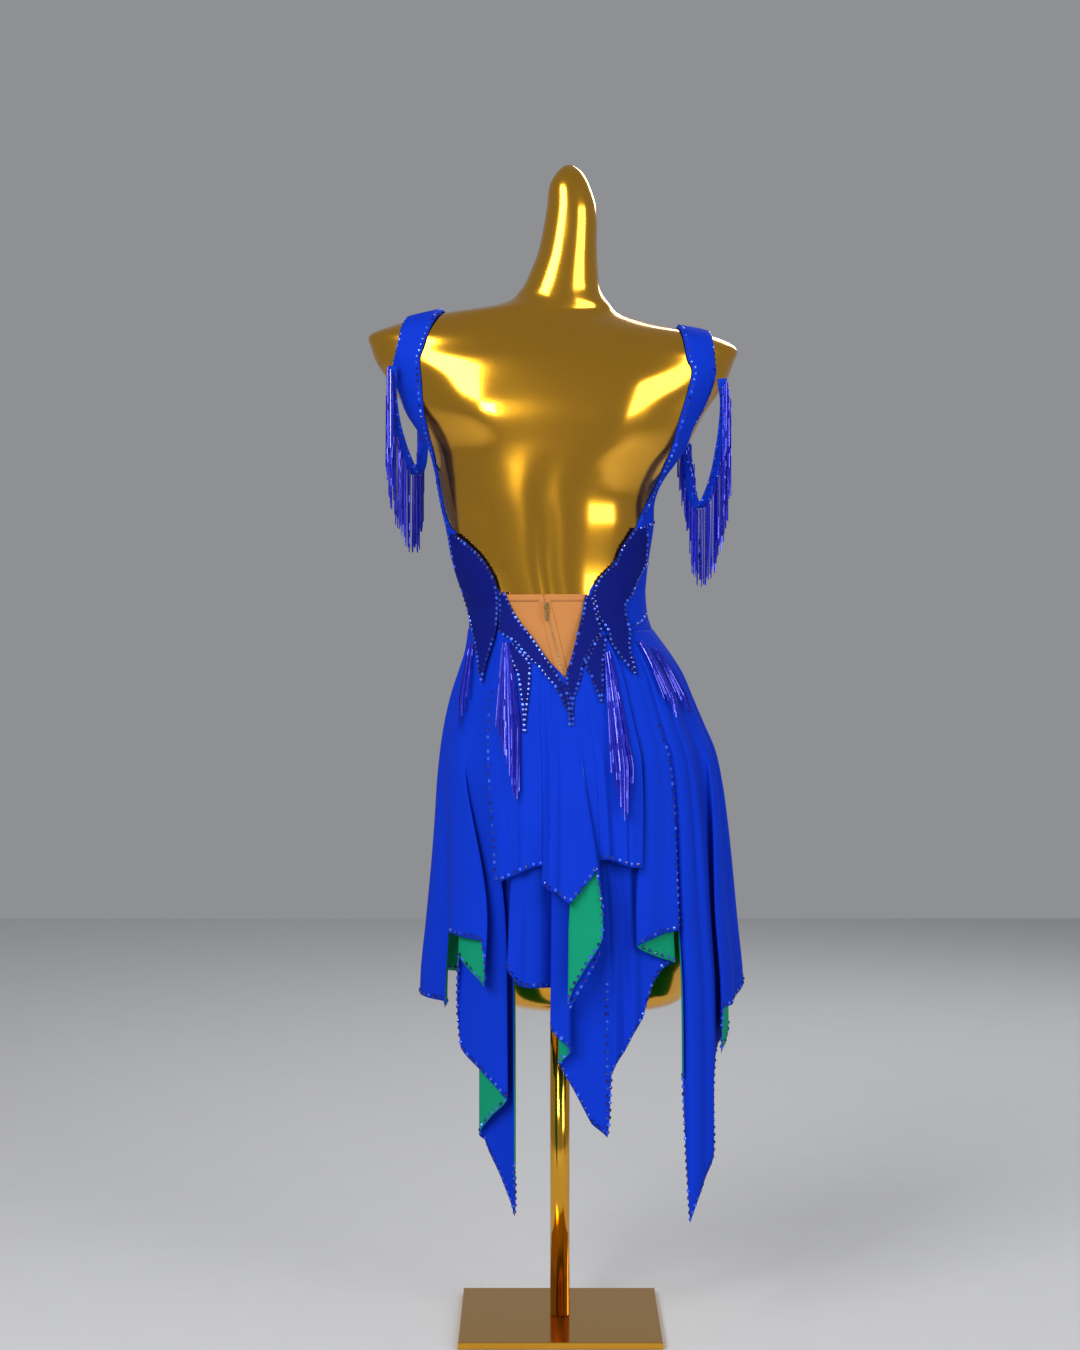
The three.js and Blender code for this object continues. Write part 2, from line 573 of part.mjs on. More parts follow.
// Turn on the back half of a ring at which it has a given X.
function turnAt(table, x, z, out = 0) {
  const left = valueAt(table, 'left', z) + out;
  const right = valueAt(table, 'right', z) - out;
  const c = (x - (left + right) / 2) / ((left - right) / 2);
  return Math.acos(Math.min(1, Math.max(-1, c))) / RAD;
}

function smooth(t) {
  const u = Math.min(1, Math.max(0, t));
  return u * u * (3 - 2 * u);
}

// How far the folds have opened at a height: 0 at the hip, 1 towards the hem.
function opened(z) {
  return smooth((800 - z) / 290);
}

function smoothRows(folds, key, s) {
  const last = folds.length - 1;
  const i = Math.min(Math.max(Math.floor(s), 0), last - 1);
  const t = s - i;
  const at = (k) => folds[Math.min(Math.max(k, 0), last)][key];
  const m1 = (at(i + 1) - at(i - 1)) / 2;
  const m2 = (at(i + 2) - at(i)) / 2;
  const h1 = 2 * t ** 3 - 3 * t ** 2 + 1;
  const h2 = t ** 3 - 2 * t ** 2 + t;
  const h4 = t ** 3 - t ** 2;
  return h1 * at(i) + h2 * m1 + (1 - h1) * at(i + 1) + h4 * m2;
}

function plainRows(folds, key, s) {
  const i = Math.min(Math.max(Math.floor(s), 0), folds.length - 2);
  return folds[i][key] + (folds[i + 1][key] - folds[i][key]) * (s - i);
}

// Outer face of the under layer at fold position s and height z.
function underPoint(folds, s, z) {
  const open = opened(z);
  const turn = smoothRows(folds, 'waist', s) * (1 - open) + smoothRows(folds, 'hem', s) * open;
  const tuck = Math.max(0, smoothRows(folds, 'tuck', s));
  return ringPoint(FLARE, turn, z).lerp(ringPoint(CORE, turn, z), tuck);
}

// Outer face of the overlay at fold position s and height z.
function overlayPoint(folds, s, z) {
  const open = opened(z);
  const turn = smoothRows(folds, 'waist', s) * (1 - open) + smoothRows(folds, 'hem', s) * open;
  const crest = Math.max(0, smoothRows(folds, 'crest', s));
  return ringPoint(FLARE, turn, z, 3 + (4 + crest) * open);
}

// Surface on which the dark pieces and tassels lie.
function coverPoint(x, z, out) {
  if (z >= WAIST_Z) {
    const lift = 4.4 + 3.6 * smooth((904 - z) / 32) + out;
    return ringPoint(FORM, turnAt(FORM, x, z, lift), z, lift);
  }
  const lift = 4 + 26 * opened(z) + out;
  return ringPoint(FLARE, turnAt(FLARE, x, z, lift), z, lift);
}

// ---------------------------------------------------------------- solid helpers

const group = new THREE.Group();

function addMesh(name, geometry, finish) {
  const mesh = new THREE.Mesh(geometry, new THREE.MeshStandardMaterial(FINISH[finish]));
  mesh.name = name;
  group.add(mesh);
}

function fromTriangles(points, faces) {
  const geometry = new THREE.BufferGeometry();
  geometry.setAttribute('position', new THREE.Float32BufferAttribute(points, 3));
  geometry.setIndex(faces);
  geometry.computeVertexNormals();
  return geometry;
}

// Closed wall between two grids of points of the same size; `front` is the face that
// looks along the cross product of the column step and the row step.
function wallBetween(front, back) {
  const rows = front.length;
  const cols = front[0].length;
  const points = [];
  for (const grid of [front, back]) {
    for (const row of grid) {
      for (const p of row) points.push(p.x, p.y, p.z);
    }
  }
  const faces = [];
  const id = (side, i, j) => side * rows * cols + i * cols + j;
  const quad = (a, b, c, d) => faces.push(a, b, c, a, c, d);
  for (let i = 0; i < rows - 1; i += 1) {
    for (let j = 0; j < cols - 1; j += 1) {
      quad(id(0, i, j), id(0, i, j + 1), id(0, i + 1, j + 1), id(0, i + 1, j));
      quad(id(1, i, j), id(1, i + 1, j), id(1, i + 1, j + 1), id(1, i, j + 1));
    }
  }
  for (let j = 0; j < cols - 1; j += 1) {
    quad(id(0, 0, j + 1), id(0, 0, j), id(1, 0, j), id(1, 0, j + 1));
    quad(id(0, rows - 1, j), id(0, rows - 1, j + 1), id(1, rows - 1, j + 1), id(1, rows - 1, j));
  }
  for (let i = 0; i < rows - 1; i += 1) {
    quad(id(0, i, 0), id(0, i + 1, 0), id(1, i + 1, 0), id(1, i, 0));
    quad(id(0, i + 1, cols - 1), id(0, i, cols - 1), id(1, i, cols - 1), id(1, i + 1, cols - 1));
  }
  return fromTriangles(points, faces);
}

// Unit normals of a grid, from the steps between neighbouring points.
function gridNormals(grid) {
  const rows = grid.length;
  const cols = grid[0].length;
  return grid.map((row, i) => row.map((_, j) => {
    const across = grid[i][Math.min(j + 1, cols - 1)].clone().sub(grid[i][Math.max(j - 1, 0)]);
    const down = grid[Math.min(i + 1, rows - 1)][j].clone().sub(grid[Math.max(i - 1, 0)][j]);
    return across.cross(down).normalize();
  }));
}

function moveOut(grid, normals, distance) {
  return grid.map((row, i) => row.map((p, j) => p.clone().addScaledVector(normals[i][j], distance)));
}

// Sheet of cloth whose outer face lies `out` beyond the grid.
function sheetOn(grid, out, thick) {
  const normals = gridNormals(grid);
  return wallBetween(moveOut(grid, normals, out), moveOut(grid, normals, out - thick));
}

// ---------------------------------------------------------------- stand and form

function addStand() {
  const h = PLATE / 2;
  const outline = new THREE.Shape();
  outline.moveTo(-h, -h);
  outline.lineTo(h, -h);
  outline.lineTo(h, h);
  outline.lineTo(-h, h);
  outline.closePath();
  const plate = new THREE.ExtrudeGeometry(outline, { depth: PLATE_T, bevelEnabled: false });
  addMesh('base_plate', plate, 'gold');
  const length = FORM_FOOT_Z - PLATE_T - 2 * SEAM;
  const pole = new THREE.CylinderGeometry(POLE_R, POLE_R, length, 28);
  pole.rotateX(Math.PI / 2);
  pole.translate(0, 0, PLATE_T + SEAM + length / 2);
  addMesh('stand_pole', pole, 'gold');
}

function addForm() {
  const around = 34;
  const heights = [];
  for (let i = 0; i < FORM.length - 1; i += 1) {
    heights.push(FORM[i].z);
    if (FORM[i + 1].z - FORM[i].z > 50) heights.push((FORM[i].z + FORM[i + 1].z) / 2);
  }
  heights.push(FORM[FORM.length - 1].z);
  const points = [];
  const faces = [];
  for (const z of heights) {
    for (let j = 0; j < around; j += 1) {
      const p = ringPoint(FORM, 360 * j / around, z);
      points.push(p.x, p.y, p.z);
    }
  }
  const low = points.length / 3;
  points.push(-37, 0, FORM[0].z);
  points.push(-11, 0, FORM[FORM.length - 1].z + 1);
  const top = (heights.length - 1) * around;
  for (let j = 0; j < around; j += 1) {
    const k = (j + 1) % around;
    faces.push(low, k, j);
    faces.push(low + 1, top + j, top + k);
    for (let i = 0; i < heights.length - 1; i += 1) {
      const a = i * around;
      faces.push(a + j, a + k, a + around + k);
      faces.push(a + j, a + around + k, a + around + j);
    }
  }
  addMesh('form_body', fromTriangles(points, faces), 'gold');
}

// ---------------------------------------------------------------- skirt

// Heights of the rows of a panel as shares of its length, closer at the hip.
function rowShares(panel) {
  const lengths = panel.folds.map((fold) => fold.top - fold.drop);
  const count = Math.max(...lengths) > 600 ? 13 : 9;
  return Array.from({ length: count + 1 }, (_, i) => (i / count) ** 1.5);
}

function addLayer(panels, pointAt) {
  const folds = [];
  const starts = [];
  for (const panel of panels) {
    starts.push(folds.length === 0 ? 0 : folds.length - 1);
    folds.push(...panel.folds.slice(folds.length === 0 ? 0 : 1));
  }
  panels.forEach((panel, n) => {
    const count = panel.folds.length - 1;
    const step = count > 9 ? 1 : 0.5;
    const columns = [];
    for (let s = 0; s <= count; s += step) columns.push(s);
    const outer = [];
    const inner = [];
    for (const share of rowShares(panel)) {
      const outerRow = [];
      const innerRow = [];
      for (const s of columns) {
        const top = plainRows(panel.folds, 'top', s);
        const z = top + (plainRows(panel.folds, 'drop', s) - top) * share;
        let g = starts[n] + s;
        const slope = pointAt(folds, g + 0.05, z).distanceTo(pointAt(folds, g - 0.05, z)) / 0.1;
        if (s === 0) g += SEAM / 2 / slope;
        if (s === count) g -= SEAM / 2 / slope;
        const p = pointAt(folds, g, z);
        const across = pointAt(folds, g + 0.02, z).sub(pointAt(folds, g - 0.02, z));
        const down = pointAt(folds, g, z - 1).sub(pointAt(folds, g, z + 1));
        const normal = across.cross(down).normalize();
        outerRow.push(p);
        innerRow.push(p.clone().addScaledVector(normal, CLOTH));
      }
      outer.push(outerRow);
      inner.push(innerRow);
    }
    addMesh(panel.name, wallBetween(inner, outer), 'royal');
  });
}

// ---------------------------------------------------------------- bodice

function turnsRow(row, count) {
  const points = [];
  for (let j = 0; j <= count; j += 1) {
    points.push(ringPoint(FORM, row.from + (row.to - row.from) * j / count, row.z));
  }
  return points;
}

// Point on the form at a given X, along a ray leaning from back over the top to front.
function shoulderPoint(x, lean, pivotZ) {
  const c = Math.cos(lean * RAD);
  const s = Math.sin(lean * RAD);
  let near = 0;
  let far = 150;
  for (let k = 0; k < 40; k += 1) {
    const r = (near + far) / 2;
    const z = pivotZ + r * s;
    const left = valueAt(FORM, 'left', z);
    const right = valueAt(FORM, 'right', z);
    const depth = valueAt(FORM, c > 0 ? 'back' : 'front', z);
    const u = (x - (left + right) / 2) / ((left - right) / 2);
    const inside = u * u + (r * c / depth) ** 2 < 1;
    if (inside) near = r;
    else far = r;
  }
  return new THREE.Vector3(x, near * c, pivotZ + near * s);
}

function strapRow(row, pivotZ, count, flip) {
  const points = [];
  for (let j = 0; j <= count; j += 1) {
    const t = flip ? 1 - j / count : j / count;
    points.push(shoulderPoint(row.outer + (row.inner - row.outer) * t, row.lean, pivotZ));
  }
  return points;
}

function addBodice() {
  const out = BODY_GAP + CLOTH;
  const parts = [
    ['bodice_back_left', BACK_LEFT, STRAPS.left.pivotZ, STRAPS.left.back, false],
    ['bodice_back_right', BACK_RIGHT, STRAPS.right.pivotZ, STRAPS.right.back, true],
    ['bodice_front_left', FRONT_LEFT, STRAPS.left.pivotZ, [...STRAPS.left.front].reverse(), true],
    ['bodice_front_right', FRONT_RIGHT, STRAPS.right.pivotZ, [...STRAPS.right.front].reverse(), false],
  ];
  const count = 8;
  for (const [name, rows, pivotZ, straps, flip] of parts) {
    const grid = rows.map((row) => turnsRow(row, count));
    const normals = [];
    for (const strap of straps) grid.push(strapRow(strap, pivotZ, count, flip));
    for (const row of gridNormals(grid)) normals.push(row);
    const lifts = grid.map((_, i) => out + STRAP_LIFT * smooth((i - rows.length + 4) / 4));
    const wall = [0, CLOTH].map((depth) => grid.map((row, i) => (
      row.map((p, j) => p.clone().addScaledVector(normals[i][j], lifts[i] - depth)))));
    addMesh(name, wallBetween(wall[0], wall[1]), 'royal');
  }
}

// ---------------------------------------------------------------- shaped pieces

// Sheet over the cover surface between two edges, `out` beyond it.
function coverSheet(rows, out, thick, count) {
  const grid = rows.map((row) => {
    const points = [];
    for (let j = 0; j <= count; j += 1) {
      points.push(coverPoint(row.left + (row.right - row.left) * j / count, row.z, out));
    }
    return points;
  });
  return sheetOn(grid.reverse(), thick, thick);
}

function addDarkPieces() {
  for (const piece of DARK) addMesh(piece.name, coverSheet(piece.rows, 0, CLOTH, 5), 'dark');
}

function addTassels() {
  for (const tassel of TASSELS) {
    addMesh(tassel.name, coverSheet(tassel.rows, 2.2, FRINGE_T, 2), 'beads');
  }
}

function formStrip(rows, out) {
  const grid = rows.map(({ z, from, to }) => {
    const points = [];
    for (let j = 0; j <= 3; j += 1) {
      const x = from + (to - from) * j / 3;
      points.push(ringPoint(FORM, turnAt(FORM, x, z), z));
    }
    return points;
  });
  return sheetOn(grid.reverse(), out, 1);
}

function addInsert() {
  const half = SEAM / 2;
  const left = INSERT.map((r) => ({ z: r.z, from: r.left, to: r.zip + half }));
  const right = INSERT.map((r) => ({ z: r.z, from: r.zip - half, to: r.right }));
  addMesh('insert_left', formStrip(left, BODY_GAP + 1), 'nude');
  addMesh('insert_right', formStrip(right, BODY_GAP + 1), 'nude');
  const zipRows = INSERT.filter((r) => r.z > 815);
  const tapeLeft = zipRows.map((r) => ({ z: r.z - 2, from: r.zip + TAPE_W, to: r.zip + half }));
  const tapeRight = zipRows.map((r) => ({ z: r.z - 2, from: r.zip - half, to: r.zip - TAPE_W }));
  addMesh('zip_tape_left', formStrip(tapeLeft, BODY_GAP + 2.4), 'nude');
  addMesh('zip_tape_right', formStrip(tapeRight, BODY_GAP + 2.4), 'nude');
}

// ---------------------------------------------------------------- zip slider and pull

function toManifold(geometry) {
  const bare = new THREE.BufferGeometry();
  bare.setAttribute('position', geometry.getAttribute('position').clone());
  if (geometry.index) bare.setIndex(geometry.index.clone());
  const g = mergeVertices(bare, 1e-5);
  return new wasm.Manifold(new wasm.Mesh({
    numProp: 3,
    vertProperties: new Float32Array(g.getAttribute('position').array),
    triVerts: new Uint32Array(g.index.array),
  }));
}

function fromManifold(solid) {
  const mesh = solid.getMesh();
  return fromTriangles(Array.from(mesh.vertProperties), Array.from(mesh.triVerts));
}

function boxAt(w, d, h, x, y, z) {
  return new THREE.BoxGeometry(w, d, h).translate(x, y, z);
}

function addZip() {
  const seat = ringPoint(FORM, turnAt(FORM, ZIP.x, ZIP.z), ZIP.z).y + BODY_GAP + 2.4 + 0.9;
  const plate = toManifold(boxAt(ZIP.width, ZIP.base, ZIP.height, ZIP.x, seat + ZIP.base / 2, ZIP.z));
  const front = seat + ZIP.base;
  const arch = toManifold(boxAt(ZIP.lug, 4.2, 6.4, ZIP.x, front + 1.9, ZIP.z));
  const hole = toManifold(boxAt(ZIP.lug + 2, 2.6, 3.4, ZIP.x, front + 1.5, ZIP.z));
  addMesh('zip_slider', fromManifold(plate.add(arch.subtract(hole))), 'bronze');

  const axisY = front + 1.5;
  const outline = new THREE.Shape();
  const w = PULL.width / 2;
  outline.moveTo(-w, 0.5);
  outline.lineTo(-w * 0.7, -PULL.length + 1.5);
  outline.lineTo(-w * 0.4, -PULL.length);
  outline.lineTo(w * 0.4, -PULL.length);
  outline.lineTo(w * 0.7, -PULL.length + 1.5);
  outline.lineTo(w, 0.5);
  outline.closePath();
  const slot = new THREE.Path();
  const s = PULL.slot / 2;
  slot.moveTo(-s, -0.5);
  slot.lineTo(s, -0.5);
  slot.lineTo(s, -PULL.reach);
  slot.lineTo(-s, -PULL.reach);
  slot.closePath();
  outline.holes.push(slot);
  const tab = new THREE.ExtrudeGeometry(outline, { depth: PULL.thick, bevelEnabled: false });
  tab.translate(0, 0, -PULL.thick / 2);
  tab.rotateX(Math.PI / 2);
  tab.translate(ZIP.x, axisY, ZIP.z);
  addMesh('zip_pull', tab, 'bronze');
}

// ---------------------------------------------------------------- sleeves

function addSleeves() {
  for (const [side, line] of Object.entries(SLEEVES)) {
    const away = side === 'left' ? 1 : -1;
    const curve = new THREE.CatmullRomCurve3(line.map((p) => new THREE.Vector3(p.x, p.y, p.z)));
    const stops = Array.from({ length: 17 }, (_, i) => (away > 0 ? 1 - i / 16 : i / 16));
    const path = stops.map((t) => curve.getPoint(t));
    const inner = stops.map((t, i) => {
      const along = curve.getTangent(t);
      const width = new THREE.Vector3(-away, 0, 0).addScaledVector(along, away * along.x);
      return path[i].clone().addScaledVector(width.normalize(), BAND_W);
    });
    addMesh(`sleeve_band_${side}`, sheetOn([inner, path], CLOTH / 2, CLOTH), 'royal');
    const out = FRINGE_T / 2 + CLOTH / 2 + SEAM;
    const drops = [SLEEVE_DROP, SLEEVE_DROP / 2, 0];
    const fringe = drops.map((drop) => path.map((p) => (
      new THREE.Vector3(p.x + away * out, p.y, p.z - drop))));
    addMesh(`sleeve_fringe_${side}`, sheetOn(fringe, FRINGE_T / 2, FRINGE_T), 'beads');
  }
}

addStand();
addForm();
addBodice();
addInsert();
addZip();
addDarkPieces();
addLayer(UNDER, underPoint);
addLayer(OVERLAY, overlayPoint);
addTassels();
addSleeves();

export default group;
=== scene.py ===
"""Salsa dance dress on a limbless dress form: the visual model.

Sizes are tables in millimetres, in the same frame as the CAD solids: +Z up, the wearer
faces -Y, the wearer's left is +X, and the origin is the middle of the plate's underside.
Every surface is worked out as whole numpy arrays and scaled to metres when it is meshed.
"""

import json
import logging
from dataclasses import dataclass, field
from enum import Enum
from typing import Callable

import bpy
import numpy as np
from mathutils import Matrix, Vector
from numpy.typing import NDArray

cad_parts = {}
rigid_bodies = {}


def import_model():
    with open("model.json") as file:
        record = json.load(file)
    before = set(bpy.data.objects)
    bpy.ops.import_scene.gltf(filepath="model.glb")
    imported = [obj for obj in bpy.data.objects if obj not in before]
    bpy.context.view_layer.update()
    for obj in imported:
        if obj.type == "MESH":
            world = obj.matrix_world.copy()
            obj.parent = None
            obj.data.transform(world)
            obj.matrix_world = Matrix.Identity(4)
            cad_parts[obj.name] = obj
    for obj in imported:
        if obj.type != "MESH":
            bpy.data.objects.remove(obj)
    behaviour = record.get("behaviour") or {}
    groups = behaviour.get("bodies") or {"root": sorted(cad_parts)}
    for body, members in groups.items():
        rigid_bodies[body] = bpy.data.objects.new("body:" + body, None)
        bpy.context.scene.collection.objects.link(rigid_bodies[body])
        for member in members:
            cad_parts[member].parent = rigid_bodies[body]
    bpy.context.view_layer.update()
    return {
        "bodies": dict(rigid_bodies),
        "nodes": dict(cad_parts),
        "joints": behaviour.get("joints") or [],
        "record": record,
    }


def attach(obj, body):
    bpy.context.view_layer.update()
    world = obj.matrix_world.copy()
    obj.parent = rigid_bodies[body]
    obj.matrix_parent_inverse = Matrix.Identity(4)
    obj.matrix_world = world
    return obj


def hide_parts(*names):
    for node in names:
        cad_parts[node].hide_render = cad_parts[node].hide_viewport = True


LOG = logging.getLogger("salsa_dress")
Array = NDArray[np.float64]
Surface = Callable[[Array, Array], Array]

MM = 0.001
WAIST_Z = 872.0
BODY_GAP = 1.6
WALL = 1.2
CLOTH = 0.8
STRAP_LIFT = 3.0
SEAM_TOP = 1076.0
BAND_W = 12.0
SLEEVE_DROP = 98.0
PLATE_SIDE = 250.0
PLATE_T = 8.0
POLE_R = 12.2
FORM_FOOT_Z = 400.0
POLE_GAP = 0.6
BEVEL = 0.8
CLOSE_STONES = 6.4
BAND_STONES = 8.0
HEM_STONES = 9.0
STONE_INSET = 4.0
STONE_LIFT = 0.1
STRAND_STEP = 1.9
SPINE_TURN = 87.5
BLADE_TURNS = (57.0, 119.0)
FLOOR_HALF = 4000.0
FLOOR_Z = -1.0
ROOT = "dress_and_stand"

# Rings: height, then reach to the wearer's left, right, back and front.
FORM_ROWS = (
    (400, 60, -134, 62, 60),
    (407, 76, -150, 78, 76),
    (425, 86, -160, 90, 86),
    (480, 95, -167, 97, 93),
    (590, 121, -169, 102, 99),
    (683, 137, -169, 107, 104),
    (722, 137, -166, 107, 105),
    (754, 133, -160, 105, 104),
    (789, 126, -150, 101, 101),
    (817, 119, -137, 96, 96),
    (845, 113, -123, 91, 90),
    (872, 111, -112, 88, 87),
    (897, 112, -105, 86, 86),
    (917, 119, -104, 86, 88),
    (952, 131, -107, 87, 94),
    (999, 140, -114, 90, 104),
    (1034, 148, -116, 92, 112),
    (1064, 153, -130, 94, 117),
    (1098, 162, -157, 96, 115),
    (1140, 190, -180, 97, 105),
    (1177, 211, -205, 91, 93),
    (1204, 229, -216, 82, 81),
    (1222, 235, -219, 73, 71),
    (1238, 237, -184, 63, 61),
    (1250, 208, -123, 55, 53),
    (1263, 158, -76, 46, 45),
    (1276, 76, -62, 41, 42),
    (1292, 51, -51, 38, 39),
    (1322, 35, -47, 34, 36),
    (1347, 26, -46, 31, 33),
    (1394, 17, -45, 28, 29),
    (1424, 13, -36, 22, 22),
    (1440, 4, -27, 14, 14),
    (1448, -5, -17, 5, 5),
)

FLARE_ROWS = (
    (872, 115, -116, 92, 91),
    (856, 117, -128, 95, 94),
    (841, 120, -139, 98.5, 98),
    (817, 128, -154, 105, 104),
    (789, 137, -166, 113, 112),
    (754, 145, -181, 122, 119),
    (722, 150, -195, 129, 126),
    (683, 154, -204, 135, 132),
    (636, 157, -211, 141, 138),
    (584, 161, -217, 146, 143),
    (510, 168, -224, 152, 149),
    (440, 175, -231, 158, 155),
    (350, 176, -233, 161, 158),
    (150, 176, -234, 164, 161),
)

CORE_ROWS = (
    (872, 114.4, -115.4, 91.4, 90.4),
    (845, 117, -132, 95, 94),
    (817, 123, -146, 100, 100),
    (754, 138, -166, 110, 109),
    (683, 142, -176, 113, 111),
    (584, 130, -177, 109, 107),
    (480, 112, -177, 104, 102),
    (400, 108, -176, 102, 100),
    (150, 108, -176, 102, 100),
)

UNDER_PANELS = {
    "skirt_left_side": (
        (-24, -24, 0.15, 872, 436),
        (-16, -15, 0.00, 872, 428),
        (-8, -7, 0.25, 872, 424),
        (1, 0, 0.00, 872, 417),
        (9, 12, 0.08, 872, 415),
        (14.5, 21.5, 0.32, 872, 412),
        (20, 29.5, 0.12, 872, 409),
    ),
    "skirt_left_point": (
        (20, 29.5, 0.12, 872, 503),
        (22.5, 35, 0.00, 872, 502),
        (26, 43, 0.00, 872, 499),
        (29, 50.5, 0.03, 872, 497),
        (31, 51.5, 0.14, 872, 440),
        (34.5, 43, 0.20, 872, 458),
        (38, 34.5, 0.26, 872, 474),
        (40.5, 32, 0.38, 872, 359),
        (44, 43, 0.44, 872, 335),
        (47, 54, 0.49, 872, 306),
        (49, 54.5, 0.59, 872, 300),
        (52, 44, 0.65, 872, 275),
        (55, 35, 0.70, 872, 251),
        (57, 35, 0.81, 872, 243),
        (59, 45, 0.86, 872, 200),
        (60.5, 53.8, 0.84, 872, 154),
        (62, 57.6, 0.60, 872, 225),
    ),
    "skirt_back_left": (
        (62, 57.6, 0.60, 872, 452),
        (63.5, 60, 0.32, 870, 470),
        (65.4, 62, 0.06, 867, 465),
        (68.5, 66, 0.10, 861, 446),
        (72, 70, 0.02, 853, 444),
        (75.5, 74, 0.10, 845, 444),
        (78, 77.8, 0.40, 839, 442),
    ),
    "skirt_back_centre": (
        (78, 77.8, 0.40, 839, 400),
        (79.8, 78, 0.10, 834, 397),
        (82.5, 81, 0.03, 827, 385),
        (85, 84.6, 0.08, 820, 372),
        (86.5, 84.4, 0.24, 816, 366),
        (88, 80.5, 0.30, 812, 352),
        (89.3, 80, 0.44, 809, 348),
        (91, 86, 0.46, 805, 312),
        (92.2, 92, 0.38, 802, 278),
        (93.5, 98, 0.30, 802, 262),
        (95, 99.6, 0.30, 810, 338),
        (96.5, 101.5, 0.26, 818, 352),
    ),
    "skirt_back_right": (
        (96.5, 101.5, 0.26, 818, 352),
        (98.5, 105, 0.38, 829, 365),
        (101, 108.5, 0.30, 844, 388),
        (103.5, 112.5, 0.40, 868, 403),
        (106, 116.5, 0.36, 872, 445),
        (109, 121, 0.34, 872, 463),
        (111.5, 125.5, 0.38, 872, 469),
        (113.5, 125.5, 0.25, 872, 470),
        (116, 117.5, 0.20, 872, 479),
        (118.5, 110, 0.16, 872, 491),
        (120, 109.6, 0.06, 872, 494),
        (123, 114, 0.00, 872, 501),
        (126, 120.5, 0.04, 872, 508),
        (129, 125.5, 0.00, 872, 510),
        (131, 127.6, 0.12, 872, 524),
    ),
    "skirt_right_point": (
        (131, 127.6, 0.12, 872, 330),
        (132.6, 128.6, 0.24, 872, 330),
        (134, 129.2, 0.05, 872, 154),
        (137, 132.5, 0.00, 872, 183),
        (140, 137, 0.04, 872, 206),
        (143, 141, 0.02, 872, 232),
        (145.5, 143, 0.12, 872, 300),
        (148, 147.4, 0.22, 872, 350),
    ),
    "skirt_right_side": (
        (148, 147.4, 0.22, 872, 350),
        (151, 154, 0.36, 872, 360),
        (153, 160, 0.34, 872, 370),
        (155, 160, 0.24, 872, 384),
        (157, 153.5, 0.17, 872, 364),
        (159, 148.5, 0.12, 872, 354),
        (161, 148, 0.03, 872, 410),
        (164, 154, 0.00, 872, 412),
        (168, 162, 0.05, 872, 420),
        (173, 171, 0.00, 872, 432),
        (178, 179, 0.10, 872, 442),
        (184, 187, 0.00, 872, 446),
        (190, 195, 0.20, 872, 440),
    ),
    "skirt_front_right": (
        (190, 195, 0.20, 872, 440),
        (197, 202, 0.00, 872, 452),
        (205, 210, 0.34, 872, 466),
        (212, 217, 0.00, 872, 480),
        (220, 225, 0.28, 872, 492),
        (227, 231, 0.04, 872, 500),
        (235, 238, 0.36, 872, 506),
    ),
    "skirt_front_centre": (
        (235, 238, 0.36, 872, 506),
        (242, 244, 0.00, 872, 510),
        (250, 251, 0.30, 872, 512),
        (258, 258, 0.02, 872, 512),
        (265, 265, 0.36, 872, 508),
        (273, 272, 0.00, 872, 504),
        (281, 280, 0.32, 872, 498),
        (288, 286, 0.08, 872, 490),
    ),
    "skirt_front_left": (
        (288, 286, 0.08, 872, 490),
        (295, 292, 0.00, 872, 432),
        (301, 298, 0.32, 872, 394),
        (307, 304, 0.02, 872, 378),
        (314, 312, 0.34, 872, 390),
        (321, 320, 0.00, 872, 414),
        (328, 328, 0.28, 872, 432),
        (336, 336, 0.15, 872, 436),
    ),
}

OVERLAY_PANELS = {
    "overlay_left": (
        (49, 57.6, 1, 872, 570),
        (54, 61.5, 5, 872, 572),
        (60, 65, 1, 872, 578),
        (66, 68.6, 6, 865, 584),
        (71, 72, 3, 855, 589),
        (75, 75, 0, 845, 591),
    ),
    "overlay_centre": (
        (75, 75, 0, 845, 568),
        (79, 78, 16, 836, 564),
        (82, 81.5, 26, 828, 560),
        (84.5, 85.5, 28, 821, 549),
        (86.5, 90.5, 26, 816, 570),
        (88, 95, 25, 812, 590),
        (89.5, 95.5, 19, 809, 508),
        (91, 90.5, 17, 805, 474),
        (92.5, 86, 15, 802, 442),
        (93.8, 85.5, 10, 808, 420),
        (95, 91, 9, 818, 460),
        (96.2, 95, 8, 826, 488),
    ),
    "overlay_right": (
        (96.2, 97.2, 22, 826, 599),
        (98.5, 98.6, 14, 836, 600),
        (101, 100.5, 4, 848, 597),
        (105, 103, 7, 871, 593),
        (111, 106.5, 3, 872, 589),
        (116, 110, 0, 872, 588),
    ),
}

BACK_LEFT = (
    (872.4, -22, 60),
    (885, -22, 60),
    (899, -21, 56.5),
    (918, -20, 54.2),
    (940, -19, 49),
    (962, -18, 41.5),
    (978, -17, 33),
    (993, -17, 22),
    (1001, -16, 14),
    (1020, -15, 8),
    (1048, -10, 6),
    (1072, -3, 7),
    (1098, 0.5, 12),
    (1120, 4, 22),
    (1140, 6, 28.5),
    (1162, 13, 33.5),
    (1184, 18, 38),
    (1204, 27, 42),
)

BACK_RIGHT = (
    (872.4, 105.5, 202),
    (890, 108.6, 202),
    (917, 112.4, 201),
    (926, 115, 200),
    (940, 123, 199),
    (957, 131, 198),
    (975, 137, 197),
    (997, 146, 196),
    (1010, 150, 195),
    (1028, 159.5, 194),
    (1046, 166, 190),
    (1064, 163, 182),
    (1080, 156.5, 175),
    (1100, 151, 170),
    (1122, 148, 165),
    (1143, 146, 165),
    (1169, 142, 159),
    (1190, 140, 155),
)

